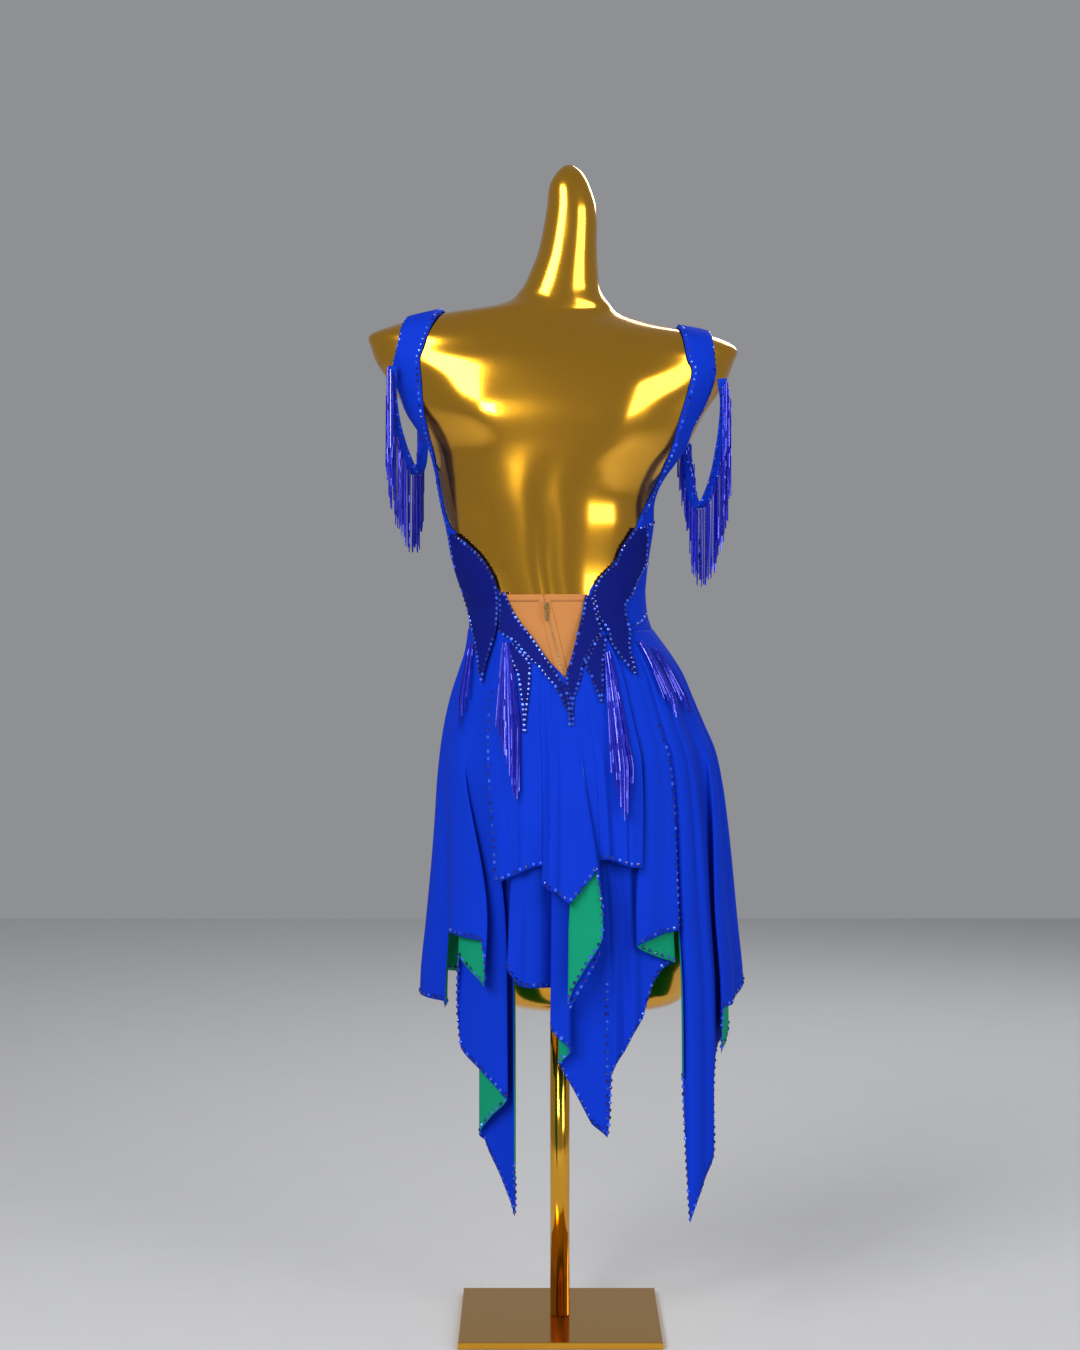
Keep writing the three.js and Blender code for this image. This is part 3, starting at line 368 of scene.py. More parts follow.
FRONT_LEFT = (
    (872.4, 270, 337.2),
    (899, 270, 338.2),
    (940, 270, 340.2),
    (993, 270, 342.2),
    (1020, 270, 344.2),
    (1048, 270, 349),
    (1072, 271, 352),
    (1098, 285, 343),
    (1130, 299, 334),
    (1165, 305, 331),
    (1204, 307, 329),
)

FRONT_RIGHT = (
    (872.4, 203.2, 269.6),
    (899, 202.6, 269.6),
    (940, 200.8, 269.6),
    (993, 198, 269.6),
    (1020, 196.4, 269.6),
    (1044, 192.8, 269.6),
    (1072, 187, 268.6),
    (1098, 196, 255),
    (1130, 205, 241),
    (1165, 209, 235),
    (1190, 211, 231),
)

STRAP_BACK_LEFT = (
    (34, 203, 168),
    (46, 200, 163),
    (57, 197, 157),
    (67, 194, 151),
    (77, 191, 146),
    (88, 189, 143),
)

STRAP_FRONT_LEFT = (
    (91, 189, 143),
    (102, 189, 144),
    (113, 190, 145),
    (124, 191, 146),
    (135, 193, 146),
)

STRAP_BACK_RIGHT = (
    (34, -190, -155),
    (46, -189, -152),
    (57, -188, -150),
    (67, -187, -148),
    (77, -186, -146),
    (88, -185, -144),
)

STRAP_FRONT_RIGHT = (
    (91, -185, -144),
    (102, -184, -143),
    (113, -182, -142),
    (124, -181, -141),
    (135, -180, -141),
)

DARK = {
    "dark_panel_left": (
        (990, 138, 131),
        (978, 136, 115.5),
        (962, 133, 98.5),
        (940, 128, 84),
        (918, 121, 77),
        (897, 114.5, 76),
        (874, 109, 78),
        (859, 105.5, 82),
        (845, 103, 86.4),
        (828, 101, 91.5),
        (809, 97, 95.6),
    ),
    "dark_band_left": (
        (917, 75.5, 67),
        (899, 74.6, 59.5),
        (883, 75, 50),
        (870, 74, 39.5),
        (858, 56, 30.5),
        (845, 45, 21.5),
        (828, 26.5, 9.5),
        (817, 17.5, 2.5),
        (804, 7, -6),
        (790, -1, -10.4),
        (769, -10, -12),
        (757, -12, -12.3),
    ),
    "dark_point_left": (
        (856.5, 69.5, 58),
        (846, 65, 48),
        (833, 59, 37),
        (818, 52.5, 36),
        (797, 49, 37.5),
        (784, 47, 39),
        (749, 44.4, 43.4),
    ),
    "dark_band_right": (
        (915, -30, -38.6),
        (888, -25, -45),
        (872, -21, -50),
        (858, -17.6, -40),
        (844, -14, -34),
        (832, -10.5, -28),
        (820, -6.6, -26),
        (804, -7, -21.5),
        (790, -11.2, -16.6),
        (769, -12.7, -15),
        (757, -12.9, -13.3),
    ),
    "dark_point_right": (
        (866, -47, -56.4),
        (856, -40, -55),
        (842, -34, -53),
        (832, -29, -52),
        (818, -36, -52),
        (804, -41, -52),
        (785, -48.6, -49.6),
    ),
    "dark_panel_right": (
        (997, -92, -106),
        (985, -84, -108),
        (970, -74, -107),
        (955, -68, -106),
        (946, -58, -102),
        (933, -45.5, -95),
        (917, -39.6, -89),
        (903, -42, -80),
        (888, -46, -81),
        (872, -57.4, -85.5),
        (858, -60, -85),
        (845, -69, -86),
        (833, -78, -90),
        (818, -91, -92.4),
    ),
}

TASSELS = {
    "tassel_back_left": (
        (858, 70, 63),
        (830, 75, 58),
        (795, 78, 52),
        (759, 79, 49),
        (720, 71, 49),
        (690, 63, 51),
        (663, 56, 52.5),
    ),
    "tassel_back_right": (
        (848, -53, -59),
        (820, -54, -65),
        (780, -56, -75),
        (745, -58, -83),
        (708, -60, -87),
        (675, -68, -84),
        (642, -74.5, -77.5),
    ),
    "tassel_right_inner": (
        (860, -94, -97),
        (840, -101, -109),
        (815, -113, -126),
        (790, -126, -141),
        (765, -142, -153),
        (750, -152, -155),
    ),
    "tassel_right_outer": (
        (851, -112, -115),
        (835, -119, -126),
        (812, -131, -142),
        (788, -144, -157),
        (763, -160, -169),
        (742, -172, -175),
    ),
    "tassel_left_side": (
        (859, 111, 107),
        (830, 117, 108),
        (790, 124, 113),
        (740, 128, 124),
    ),
}

INSERT_ROWS = (
    (916, 67, 20.4, -32),
    (899, 61, 16.4, -30),
    (883, 51, 12.7, -26),
    (864, 37, 8.2, -22),
    (839, 19, 2.4, -15),
    (818, 5, -2.5, -9),
    (809, -2, -4.8, -7.6),
)

SLEEVE_LEFT = (
    (211, 54, 1196),
    (213, 47, 1166),
    (209, 36, 1128),
    (199, 20, 1091),
    (187, 0, 1066),
    (180, -26, 1078),
    (178, -48, 1112),
    (179, -67, 1152),
    (179, -84, 1188),
)

SLEEVE_RIGHT = (
    (-204, 52, 1181),
    (-208, 46, 1150),
    (-205, 35, 1106),
    (-196, 18, 1056),
    (-182, 0, 1024),
    (-172, -26, 1042),
    (-168, -48, 1084),
    (-162, -66, 1128),
    (-156, -82, 1166),
)

# How much longer jersey and mesh are on the form than as cut, along each direction.
STRETCH = 1.06

# Lines of stones on the under layer: fold position in the panel, then the two heights.
PANEL_STONES = {
    "skirt_back_centre": ((9.0, 452.0, 276.0),),
    "skirt_back_right": ((13.2, 760.0, 520.0),),
}
# Lines of stones on the right side of the bodice: height and turn.
SIDE_STONES = (
    ((1006, 178), (1000, 158), (996, 148)),
    ((954, 176), (948, 163), (934, 154), (918, 149)),
    ((892, 168), (884, 156), (876, 141)),
)


def hermite(xs: Array, ys: Array, x: Array, clamped: bool = False) -> Array:
    """Smooth value of a column, by cubic Hermite pieces with central slopes.

    value = h1*y0 + h2*span*m0 + (1 - h1)*y1 + h4*span*m1, where each slope m is the
    difference of the two neighbours over their distance.

    Args:
        xs: Rising positions of the rows.
        ys: Values of the column at the rows.
        x: Positions asked for.
        clamped: Halves the slope at the two ends.

    Returns:
        The values at x.
    """
    last = len(xs) - 1
    at = np.clip(x, xs[0], xs[-1])
    i = np.clip(np.searchsorted(xs, at, side="right") - 1, 0, last - 1)
    lo, hi = np.clip(np.arange(last + 1) - 1, 0, last), np.clip(np.arange(last + 1) + 1, 0, last)
    slope = (ys[hi] - ys[lo]) / (xs[hi] - xs[lo])
    if clamped:
        slope[[0, -1]] *= 0.5
    span = xs[i + 1] - xs[i]
    t = (at - xs[i]) / span
    h1 = 2 * t**3 - 3 * t**2 + 1
    h2 = t**3 - 2 * t**2 + t
    h4 = t**3 - t**2
    return h1 * ys[i] + h2 * span * slope[i] + (1 - h1) * ys[i + 1] + h4 * span * slope[i + 1]


def smoothstep(t: Array) -> Array:
    """Eased share: 3u^2 - 2u^3 of t held between 0 and 1.

    Args:
        t: Any values.

    Returns:
        The eased values.
    """
    u = np.clip(t, 0.0, 1.0)
    return u * u * (3 - 2 * u)


def unit(v: Array) -> Array:
    """Vectors divided by their length.

    Args:
        v: Vectors along the last axis.

    Returns:
        Unit vectors.
    """
    return v / np.maximum(np.linalg.norm(v, axis=-1, keepdims=True), 1e-12)


def opened(z: Array) -> Array:
    """How far the folds have opened: eased share of (800 - z) / 290.

    Args:
        z: Heights.

    Returns:
        0 at the hip, 1 towards the hem.
    """
    return smoothstep((800.0 - z) / 290.0)


@dataclass(frozen=True)
class Rings:
    """A body of half-ellipse rings stacked by height."""

    rows: tuple[tuple[float, ...], ...]

    def column(self, index: int, z: Array) -> Array:
        """Smooth column value at heights.

        Args:
            index: Column, 1 left, 2 right, 3 back, 4 front.
            z: Heights.

        Returns:
            Reaches in millimetres.
        """
        data = np.array(sorted(self.rows), float)
        return hermite(data[:, 0], data[:, index], z)

    def point(self, turn: Array, z: Array, out: Array | float = 0.0) -> Array:
        """Point at a turn: x = middle + half width * cos, y = depth * sin.

        Args:
            turn: Turns in degrees, 0 left, 90 back, 180 right, 270 front.
            z: Heights.
            out: Distance added to every reach.

        Returns:
            Points, shape (..., 3).
        """
        turn, z = np.broadcast_arrays(np.asarray(turn, float), np.asarray(z, float))
        left, right = self.column(1, z) + out, self.column(2, z) - out
        c, s = np.cos(np.radians(turn)), np.sin(np.radians(turn))
        depth = np.where(s > 0, self.column(3, z), self.column(4, z)) + out
        return np.stack([(left + right) / 2 + (left - right) / 2 * c, depth * s, z], axis=-1)

    def turn_at(self, x: Array, z: Array, out: Array | float = 0.0) -> Array:
        """Turn on the back half at which x is reached: the inverse cosine.

        Args:
            x: Distances to the wearer's left.
            z: Heights.
            out: Distance added to every reach.

        Returns:
            Turns in degrees, from 0 to 180.
        """
        left, right = self.column(1, z) + out, self.column(2, z) - out
        return np.degrees(np.arccos(np.clip((x - (left + right) / 2) / ((left - right) / 2), -1, 1)))


FORM = Rings(FORM_ROWS)
FLARE = Rings(FLARE_ROWS)
CORE = Rings(CORE_ROWS)


def cover_point(x: Array, z: Array, out: float) -> Array:
    """Point of the surface that the dark pieces and tassels lie on.

    Above the waist it is the form moved out by 4.4 mm, rising to 8 mm at the waist; below,
    the skirt's envelope moved out by 4 mm plus 26 mm times the opening of the folds.

    Args:
        x: Distances to the wearer's left.
        z: Heights.
        out: Extra distance outward.

    Returns:
        Points, shape (..., 3).
    """
    x, z = np.broadcast_arrays(np.asarray(x, float), np.asarray(z, float))
    above = 4.4 + 3.6 * smoothstep((904 - z) / 32) + out
    below = 4.0 + 26.0 * opened(z) + out
    high = FORM.point(FORM.turn_at(x, z, above), z, above)
    low = FLARE.point(FLARE.turn_at(x, z, below), z, below)
    return np.where((z >= WAIST_Z)[..., None], high, low)


def grid_normals(grid: Array) -> Array:
    """Unit normals of a grid: the cross product of its column and row differences.

    Args:
        grid: Points, shape (rows, columns, 3).

    Returns:
        Normals of the same shape.
    """
    return unit(np.cross(np.gradient(grid, axis=1), np.gradient(grid, axis=0)))


def refine(grid: Array, factor: int) -> Array:
    """A grid with more rows, each column a smooth curve through the given rows.

    Args:
        grid: Points or numbers, rows along the first axis.
        factor: New rows for each step.

    Returns:
        The finer grid.
    """
    index = np.arange(len(grid), dtype=float)
    at = np.linspace(0, len(grid) - 1, (len(grid) - 1) * factor + 1)
    flat = grid.reshape(len(grid), -1)
    fine = np.stack([hermite(index, column, at) for column in flat.T], axis=1)
    return fine.reshape((len(at),) + grid.shape[1:])


class Side(Enum):
    """Material index of the two faces of a sheet."""

    OUTER = 0
    INNER = 1


@dataclass
class MeshData:
    """Vertices in millimetres, quads or triangles, and material indices."""

    points: Array
    faces: NDArray[np.int64]
    sides: NDArray[np.int64]
    tints: Array | None = None
    grid: Array | None = None

    def make(self, name: str, materials: list[bpy.types.Material], smooth: bool = True) -> bpy.types.Object:
        """Makes the mesh object.

        Args:
            name: Name of the piece.
            materials: Materials by index.
            smooth: Shades the faces smooth.

        Returns:
            The object, linked to the scene.
        """
        mesh = bpy.data.meshes.new(name)
        mesh.from_pydata(self.points * MM, [], self.faces.tolist())
        for material in materials:
            mesh.materials.append(material)
        mesh.polygons.foreach_set("material_index", self.sides.astype(np.int32))
        mesh.polygons.foreach_set("use_smooth", np.full(len(self.faces), smooth))
        if self.tints is not None:
            layer = mesh.attributes.new("tint", "FLOAT", "POINT")
            layer.data.foreach_set("value", self.tints.astype(np.float32))
        mesh.update()
        obj = bpy.data.objects.new(name, mesh)
        bpy.context.scene.collection.objects.link(obj)
        return obj


def wall(outer: Array, inner: Array) -> MeshData:
    """Closed wall between two grids of the same size.

    Args:
        outer: Grid whose column-by-row cross product looks outward.
        inner: Grid of the other face.

    Returns:
        Faces of both sides and of the four edges.
    """
    rows, cols = outer.shape[:2]
    ids = np.arange(rows * cols).reshape(rows, cols)
    back = ids + rows * cols

    def quads(a: Array, b: Array, c: Array, d: Array) -> Array:
        """Quads from four arrays of corners.

        Args:
            a: First corners.
            b: Second corners.
            c: Third corners.
            d: Fourth corners.

        Returns:
            Faces, shape (n, 4).
        """
        return np.stack([a.ravel(), b.ravel(), c.ravel(), d.ravel()], axis=1)

    front = quads(ids[:-1, :-1], ids[:-1, 1:], ids[1:, 1:], ids[1:, :-1])
    rear = quads(back[:-1, :-1], back[1:, :-1], back[1:, 1:], back[:-1, 1:])
    rim = np.concatenate([
        quads(ids[0, 1:], ids[0, :-1], back[0, :-1], back[0, 1:]),
        quads(ids[-1, :-1], ids[-1, 1:], back[-1, 1:], back[-1, :-1]),
        quads(ids[:-1, 0], ids[1:, 0], back[1:, 0], back[:-1, 0]),
        quads(ids[1:, -1], ids[:-1, -1], back[:-1, -1], back[1:, -1]),
    ])
    faces = np.concatenate([front, rear, rim])
    sides = np.concatenate([
        np.full(len(front), Side.OUTER.value),
        np.full(len(rear), Side.INNER.value),
        np.full(len(rim), Side.OUTER.value),
    ])
    points = np.concatenate([outer.reshape(-1, 3), inner.reshape(-1, 3)])
    return MeshData(points, faces, sides, grid=outer)


def sheet_on(grid: Array, out: float | Array, thick: Array | float = CLOTH) -> MeshData:
    """Sheet of cloth whose outer face lies beyond a grid.

    Args:
        grid: Points whose normals look outward.
        out: Distance of the outer face.
        thick: Wall of the sheet.

    Returns:
        The closed sheet.
    """
    normals = grid_normals(grid)
    return wall(grid + normals * out, grid + normals * (out - np.atleast_3d(thick)))


def copies(shape: Array, faces: Array, at: Array, frames: Array, scale: Array, tints: Array) -> MeshData:
    """Many turned and scaled copies of one small shape as one mesh.

    Each vertex = place + sum over the three axes of its coordinate * size * axis.

    Args:
        shape: Vertices of the shape, shape (v, 3).
        faces: Its faces, all with the same number of corners.
        at: Places, shape (n, 3).
        frames: Three axes for each place, shape (n, 3, 3).
        scale: Sizes along the three axes, shape (n, 3).
        tints: A number for each copy.

    Returns:
        The joined mesh.
    """
    points = at[:, None, :] + np.einsum("va,na,nax->nvx", shape, scale, frames)
    index = (faces[None] + (np.arange(len(at)) * len(shape))[:, None, None]).reshape(-1, faces.shape[1])
    return MeshData(points.reshape(-1, 3), index, np.zeros(len(index), int), np.repeat(tints, len(shape)))


def frames_from(axis: Array, hint: Array) -> Array:
    """Frames whose third axis is given: first = hint x axis, second = axis x first.

    Args:
        axis: Third axes, shape (n, 3).
        hint: Directions not along them, shape (n, 3).

    Returns:
        Frames, shape (n, 3, 3), one axis a row.
    """
    w = unit(axis)
    u = unit(np.cross(hint, w))
    return np.stack([u, np.cross(w, u), w], axis=1)


def resample(line: Array, normals: Array, step: float) -> tuple[Array, Array]:
    """Points at even distances along a line, with their normals.

    Args:
        line: Points, shape (n, 3).
        normals: Normals at them.
        step: Distance between the new points.

    Returns:
        New points and unit normals.
    """
    run = np.concatenate([[0.0], np.cumsum(np.linalg.norm(np.diff(line, axis=0), axis=1))])
    at = np.arange(step / 2, max(run[-1], step), step)
    pick = [np.stack([np.interp(at, run, v[:, k]) for k in range(3)], axis=1) for v in (line, normals)]
    return pick[0], unit(pick[1])


class Noodle:
    """Small helper that adds and links shader nodes in one tree."""

    def __init__(self, tree: bpy.types.NodeTree) -> None:
        """Keeps the tree.

        Args:
            tree: The node tree to build in.
        """
        self.tree = tree

    def add(self, kind: str, **values: object) -> bpy.types.Node:
        """Adds a node and sets its properties or sockets.

        Args:
            kind: Blender's node type.
            **values: Property values, or socket values given with a name ending in _in.

        Returns:
            The node.
        """
        node = self.tree.nodes.new(kind)
        for key, value in values.items():
            if key.endswith("_in"):
                node.inputs[key[:-3].replace("_", " ")].default_value = value
            else:
                setattr(node, key, value)
        return node

    def link(self, source: bpy.types.NodeSocket, target: bpy.types.NodeSocket) -> None:
        """Links two sockets.

        Args:
            source: An output.
            target: An input.
        """
        self.tree.links.new(source, target)


def make_group(
    name: str, inputs: dict[str, tuple[str, object]], outputs: dict[str, str]
) -> tuple[bpy.types.NodeTree, Noodle, bpy.types.Node, bpy.types.Node]:
    """Starts a shader node group with named sockets.

    Args:
        name: Name of the group.
        inputs: Socket type and default by name.
        outputs: Socket type by name.

    Returns:
        The group, its helper, its input node and its output node.
    """
    group = bpy.data.node_groups.new(name, "ShaderNodeTree")
    for label, (kind, value) in inputs.items():
        socket = group.interface.new_socket(label, in_out="INPUT", socket_type=kind)
        socket.default_value = value
    for label, kind in outputs.items():
        group.interface.new_socket(label, in_out="OUTPUT", socket_type=kind)
    noodle = Noodle(group)
    return group, noodle, group.nodes.new("NodeGroupInput"), group.nodes.new("NodeGroupOutput")


def cloth_group() -> bpy.types.NodeTree:
    """Knit cloth: base colour varied by soft noise, and a fine rib height.

    Colour = base * (1 - vary + 2 * vary * noise); height = ribs of the given pitch.

    Returns:
        The node group.
    """
    group, n, gin, gout = make_group(
        "cloth_effect",
        {"Base": ("NodeSocketColor", (0.1, 0.1, 0.5, 1)), "Vary": ("NodeSocketFloat", 0.1),
         "Pitch": ("NodeSocketFloat", 700.0)},
        {"Color": "NodeSocketColor", "Height": "NodeSocketFloat"},
    )
    coord = n.add("ShaderNodeTexCoord")
    noise = n.add("ShaderNodeTexNoise", Scale_in=14.0, Detail_in=3.0)
    n.link(coord.outputs["Object"], noise.inputs["Vector"])
    span = n.add("ShaderNodeMath", operation="MULTIPLY_ADD")
    n.link(noise.outputs["Fac"], span.inputs[0])
    double = n.add("ShaderNodeMath", operation="MULTIPLY")
    double.inputs[1].default_value = 2.0
    n.link(gin.outputs["Vary"], double.inputs[0])
    rest = n.add("ShaderNodeMath", operation="SUBTRACT")
    rest.inputs[0].default_value = 1.0
    n.link(gin.outputs["Vary"], rest.inputs[1])
    n.link(double.outputs[0], span.inputs[1])
    n.link(rest.outputs[0], span.inputs[2])
    scale = n.add("ShaderNodeVectorMath", operation="SCALE")
    n.link(gin.outputs["Base"], scale.inputs[0])
    n.link(span.outputs[0], scale.inputs["Scale"])
    n.link(scale.outputs[0], gout.inputs["Color"])
    knit = n.add("ShaderNodeTexNoise", Detail_in=1.0)
    n.link(coord.outputs["Object"], knit.inputs["Vector"])
    n.link(gin.outputs["Pitch"], knit.inputs["Scale"])
    n.link(knit.outputs["Fac"], gout.inputs["Height"])
    return group


def spark_group() -> bpy.types.NodeTree:
    """Colour of stones and beads: a mix of two colours by each copy's tint.

    Colour = first * (1 - tint) + second * tint.

    Returns:
        The node group.
    """
    group, n, gin, gout = make_group(
        "spark_effect",
        {"First": ("NodeSocketColor", (0, 0, 0.5, 1)), "Second": ("NodeSocketColor", (0.3, 0.4, 1, 1))},
        {"Color": "NodeSocketColor", "Tint": "NodeSocketFloat"},
    )
    tint = n.add("ShaderNodeAttribute", attribute_name="tint")
    mix = n.add("ShaderNodeMix", data_type="RGBA")
    n.link(tint.outputs["Fac"], mix.inputs["Factor"])
    n.link(gin.outputs["First"], mix.inputs[6])
    n.link(gin.outputs["Second"], mix.inputs[7])
    n.link(mix.outputs[2], gout.inputs["Color"])
    n.link(tint.outputs["Fac"], gout.inputs["Tint"])
    return group


class Finish:
    """Base of the finishes: starts a Principled material."""

    def start(self, name: str) -> tuple[bpy.types.Material, Noodle, bpy.types.Node]:
        """Makes a material that uses nodes.

        Args:
            name: Name of the material.

        Returns:
            The material, its helper and its Principled node.
        """
        material = bpy.data.materials.new(name)
        material.use_nodes = True
        return material, Noodle(material.node_tree), material.node_tree.nodes["Principled BSDF"]


@dataclass(frozen=True)
class Fabric(Finish):
    """Woven or knitted cloth."""

    name: str
    color: tuple[float, float, float]
    roughness: float = 0.75
    vary: float = 0.08
    sheen: float = 0.0
    alpha: float = 1.0
    pitch: float = 900.0

    def build(self, group: bpy.types.NodeTree) -> bpy.types.Material:
        """Makes the material.

        Args:
            group: The cloth effect group.

        Returns:
            The material.
        """
        material, n, shader = self.start(self.name)
        effect = n.add("ShaderNodeGroup", node_tree=group)
        effect.inputs["Base"].default_value = (*self.color, 1)
        effect.inputs["Vary"].default_value = self.vary
        effect.inputs["Pitch"].default_value = self.pitch
        n.link(effect.outputs["Color"], shader.inputs["Base Color"])
        bump = n.add("ShaderNodeBump", Strength_in=0.12, Distance_in=0.0004)
        n.link(effect.outputs["Height"], bump.inputs["Height"])
        n.link(bump.outputs["Normal"], shader.inputs["Normal"])
        shader.inputs["Roughness"].default_value = self.roughness
        shader.inputs["Sheen Weight"].default_value = self.sheen
        shader.inputs["Sheen Tint"].default_value = (*self.color, 1)
        shader.inputs["Specular IOR Level"].default_value = 0.12
        shader.inputs["Alpha"].default_value = self.alpha
        return material


@dataclass(frozen=True)
class Gloss(Finish):
    """Lacquered or polished metal."""

    name: str
    color: tuple[float, float, float]
    roughness: float = 0.15
    metallic: float = 1.0
    coat: float = 0.0

    def build(self) -> bpy.types.Material:
        """Makes the material.

        Returns:
            The material.
        """
        material, _, shader = self.start(self.name)
        shader.inputs["Base Color"].default_value = (*self.color, 1)
        shader.inputs["Roughness"].default_value = self.roughness
        shader.inputs["Metallic"].default_value = self.metallic
        shader.inputs["Coat Weight"].default_value = self.coat
        shader.inputs["Coat Roughness"].default_value = 0.04
        return material


@dataclass(frozen=True)
class Spark(Finish):
    """Stones and beads, with a faint painted glow: they emit their own colour, standing in for the light
    they sparkle with.
    """

    name: str
    first: tuple[float, float, float]
    second: tuple[float, float, float]
    roughness: float = 0.1
    metallic: float = 0.6
    # Strength of the painted glow, an emission that stands in for sparkle.
    painted_glow: float = 0.0

    def build(self, group: bpy.types.NodeTree) -> bpy.types.Material:
        """Makes the material.

        Args:
            group: The spark effect group.

        Returns:
            The material.
        """
        material, n, shader = self.start(self.name)
        effect = n.add("ShaderNodeGroup", node_tree=group)
        effect.inputs["First"].default_value = (*self.first, 1)
        effect.inputs["Second"].default_value = (*self.second, 1)
        n.link(effect.outputs["Color"], shader.inputs["Base Color"])
        # Painted glow: the material emits its own colour faintly, as painted sparkle.
        n.link(effect.outputs["Color"], shader.inputs["Emission Color"])
        shader.inputs["Emission Strength"].default_value = self.painted_glow
        shader.inputs["Roughness"].default_value = self.roughness
        shader.inputs["Metallic"].default_value = self.metallic
        shader.inputs["Coat Weight"].default_value = 0.6
        return material


@dataclass
class Palette:
    """All materials of the object."""

    royal: bpy.types.Material = field(init=False)
    green: bpy.types.Material = field(init=False)
    dark: bpy.types.Material = field(init=False)
    nude: bpy.types.Material = field(init=False)
    gold: bpy.types.Material = field(init=False)
    brass: bpy.types.Material = field(init=False)
    bronze: bpy.types.Material = field(init=False)
    beads: bpy.types.Material = field(init=False)
    stones: bpy.types.Material = field(init=False)

    def __post_init__(self) -> None:
        """Builds each material once."""
        cloth, spark = cloth_group(), spark_group()
        self.royal = Fabric("royal_jersey", (0.0005, 0.030, 0.50), 0.85, 0.08).build(cloth)
        self.green = Fabric("green_reverse", (0.002, 0.26, 0.135), 0.8, 0.06).build(cloth)
        self.dark = Fabric("dark_pile", (0.0003, 0.005, 0.155), 0.75, 0.14, 0.04).build(cloth)
        self.nude = Fabric("nude_mesh", (0.50, 0.20, 0.058), 0.75, 0.05, 0.0, 1.0, 2200).build(cloth)
        self.gold = Gloss("gold_lacquer", (0.82, 0.40, 0.022), 0.17, 1.0, 0.5).build()
        self.brass = Gloss("polished_brass", (0.80, 0.40, 0.04), 0.13).build()
        self.bronze = Gloss("aged_bronze", (0.62, 0.38, 0.15), 0.25).build()
        # The last number of beads and stones is their painted glow, a faint emission standing in for
        # sparkle.
        self.beads = Spark(
            "bugle_beads", (0.002, 0.003, 0.34), (0.05, 0.07, 0.95), 0.10, 0.4, 0.04
        ).build(spark)
        self.stones = Spark(
            "sapphire_stones", (0.001, 0.006, 0.16), (0.06, 0.17, 1.0), 0.04, 0.35, 0.05
        ).build(spark)


@dataclass
class StoneSetter:
    """Collects places of glued stones and makes them as one mesh."""

    spacing: float = 7.6
    width: float = 4.2
    lines: list[tuple[Array, Array]] = field(default_factory=list)

    def along(self, line: Array, normals: Array, spacing: float | None = None) -> None:
        """Sets stones along a line.

        Args:
            line: Points of the line.
            normals: Outward normals at them.
            spacing: Distance between stones, if not the usual one.
        """
        self.lines.append(resample(line, normals, spacing or self.spacing))

    def build(self, name: str, material: bpy.types.Material) -> bpy.types.Object:
        """Makes the stones: flat-backed domes with a table and eight slanted faces.

        Args:
            name: Name of the piece.
            material: Their material.

        Returns:
            The object.
        """
        rng = np.random.default_rng(11)
        at = np.concatenate([line for line, _ in self.lines])
        normals = np.concatenate([normal for _, normal in self.lines])
        around = np.arange(8) * np.pi / 4
        ring = np.stack([np.cos(around), np.sin(around)], axis=1)
        layers = [(0.5, -0.05), (0.5, 0.12), (0.27, 0.34)]
        shape = np.concatenate([np.column_stack([ring * r, np.full(8, z)]) for r, z in layers]
                               + [np.array([[0, 0, -0.05], [0, 0, 0.36]])])
        k, m = np.arange(8), (np.arange(8) + 1) % 8
        side = [np.stack([a + k, a + m, a + m + 8, a + k + 8], axis=1) for a in (0, 8)]
        tris = np.concatenate([
            np.concatenate([q[:, [0, 1, 2]], q[:, [0, 2, 3]]]) for q in side
        ] + [np.stack([m, k, np.full(8, 24)], axis=1), np.stack([16 + k, 16 + m, np.full(8, 25)], axis=1)])
        hint = np.cross(normals, unit(rng.normal(size=at.shape)))
        size = self.width * rng.uniform(0.85, 1.1, (len(at), 1)) * np.ones((1, 3))
        data = copies(shape, tris, at, frames_from(normals, hint), size, rng.random(len(at)) ** 2)
        LOG.info("%s: %d stones", name, len(at))
        return data.make(name, [material], smooth=False)


@dataclass
class Strands:
    """Strands of bugle beads, joined into one mesh."""

    bead: float = 8.6
    gap: float = 0.15
    radius: float = 0.75
    places: list[Array] = field(default_factory=list)
    axes: list[Array] = field(default_factory=list)
    counts: list[int] = field(default_factory=list)

    def hang(self, path: Array) -> None:
        """Threads beads along a path.

        Args:
            path: Points of the strand from top to bottom.
        """
        at, _ = resample(path, path, self.bead + self.gap)
        if len(at) > 1:
            self.places.append(at)
            self.axes.append(np.gradient(at, axis=0))
            self.counts.append(len(at))

    def build(self, name: str, material: bpy.types.Material) -> bpy.types.Object:
        """Makes the beads: six-sided tubes with closed ends.

        Args:
            name: Name of the piece.
            material: Their material.

        Returns:
            The object.
        """
        rng = np.random.default_rng(5)
        at, axis = np.concatenate(self.places), np.concatenate(self.axes)
        around = np.arange(6) * np.pi / 3
        ring = np.stack([np.cos(around), np.sin(around)], axis=1)
        shape = np.concatenate([np.column_stack([ring, np.full(6, z)]) for z in (-0.5, 0.5)])
        k, m = np.arange(6), (np.arange(6) + 1) % 6
        tube = np.stack([k, m, m + 6, k + 6], axis=1)
        caps = np.array([[3, 2, 1, 0], [5, 4, 3, 0], [6, 7, 8, 9], [6, 9, 10, 11]])
        size = np.tile([self.radius, self.radius, self.bead], (len(at), 1))
        twist = np.repeat(rng.normal(size=(len(self.counts), 3)), self.counts, axis=0)
        hint = np.array([0.0, 1.0, 0.0]) + 0.3 * twist + 0.03 * rng.normal(size=at.shape)
        of_strand = np.repeat(rng.random(len(self.counts)) ** 2, self.counts)
        tints = of_strand * 0.8 + 0.2 * rng.random(len(at)) ** 4
        data = copies(shape, np.concatenate([tube, caps]), at, frames_from(axis, hint), size, tints)
        LOG.info("%s: %d beads", name, len(at))
        return data.make(name, [material], smooth=False)


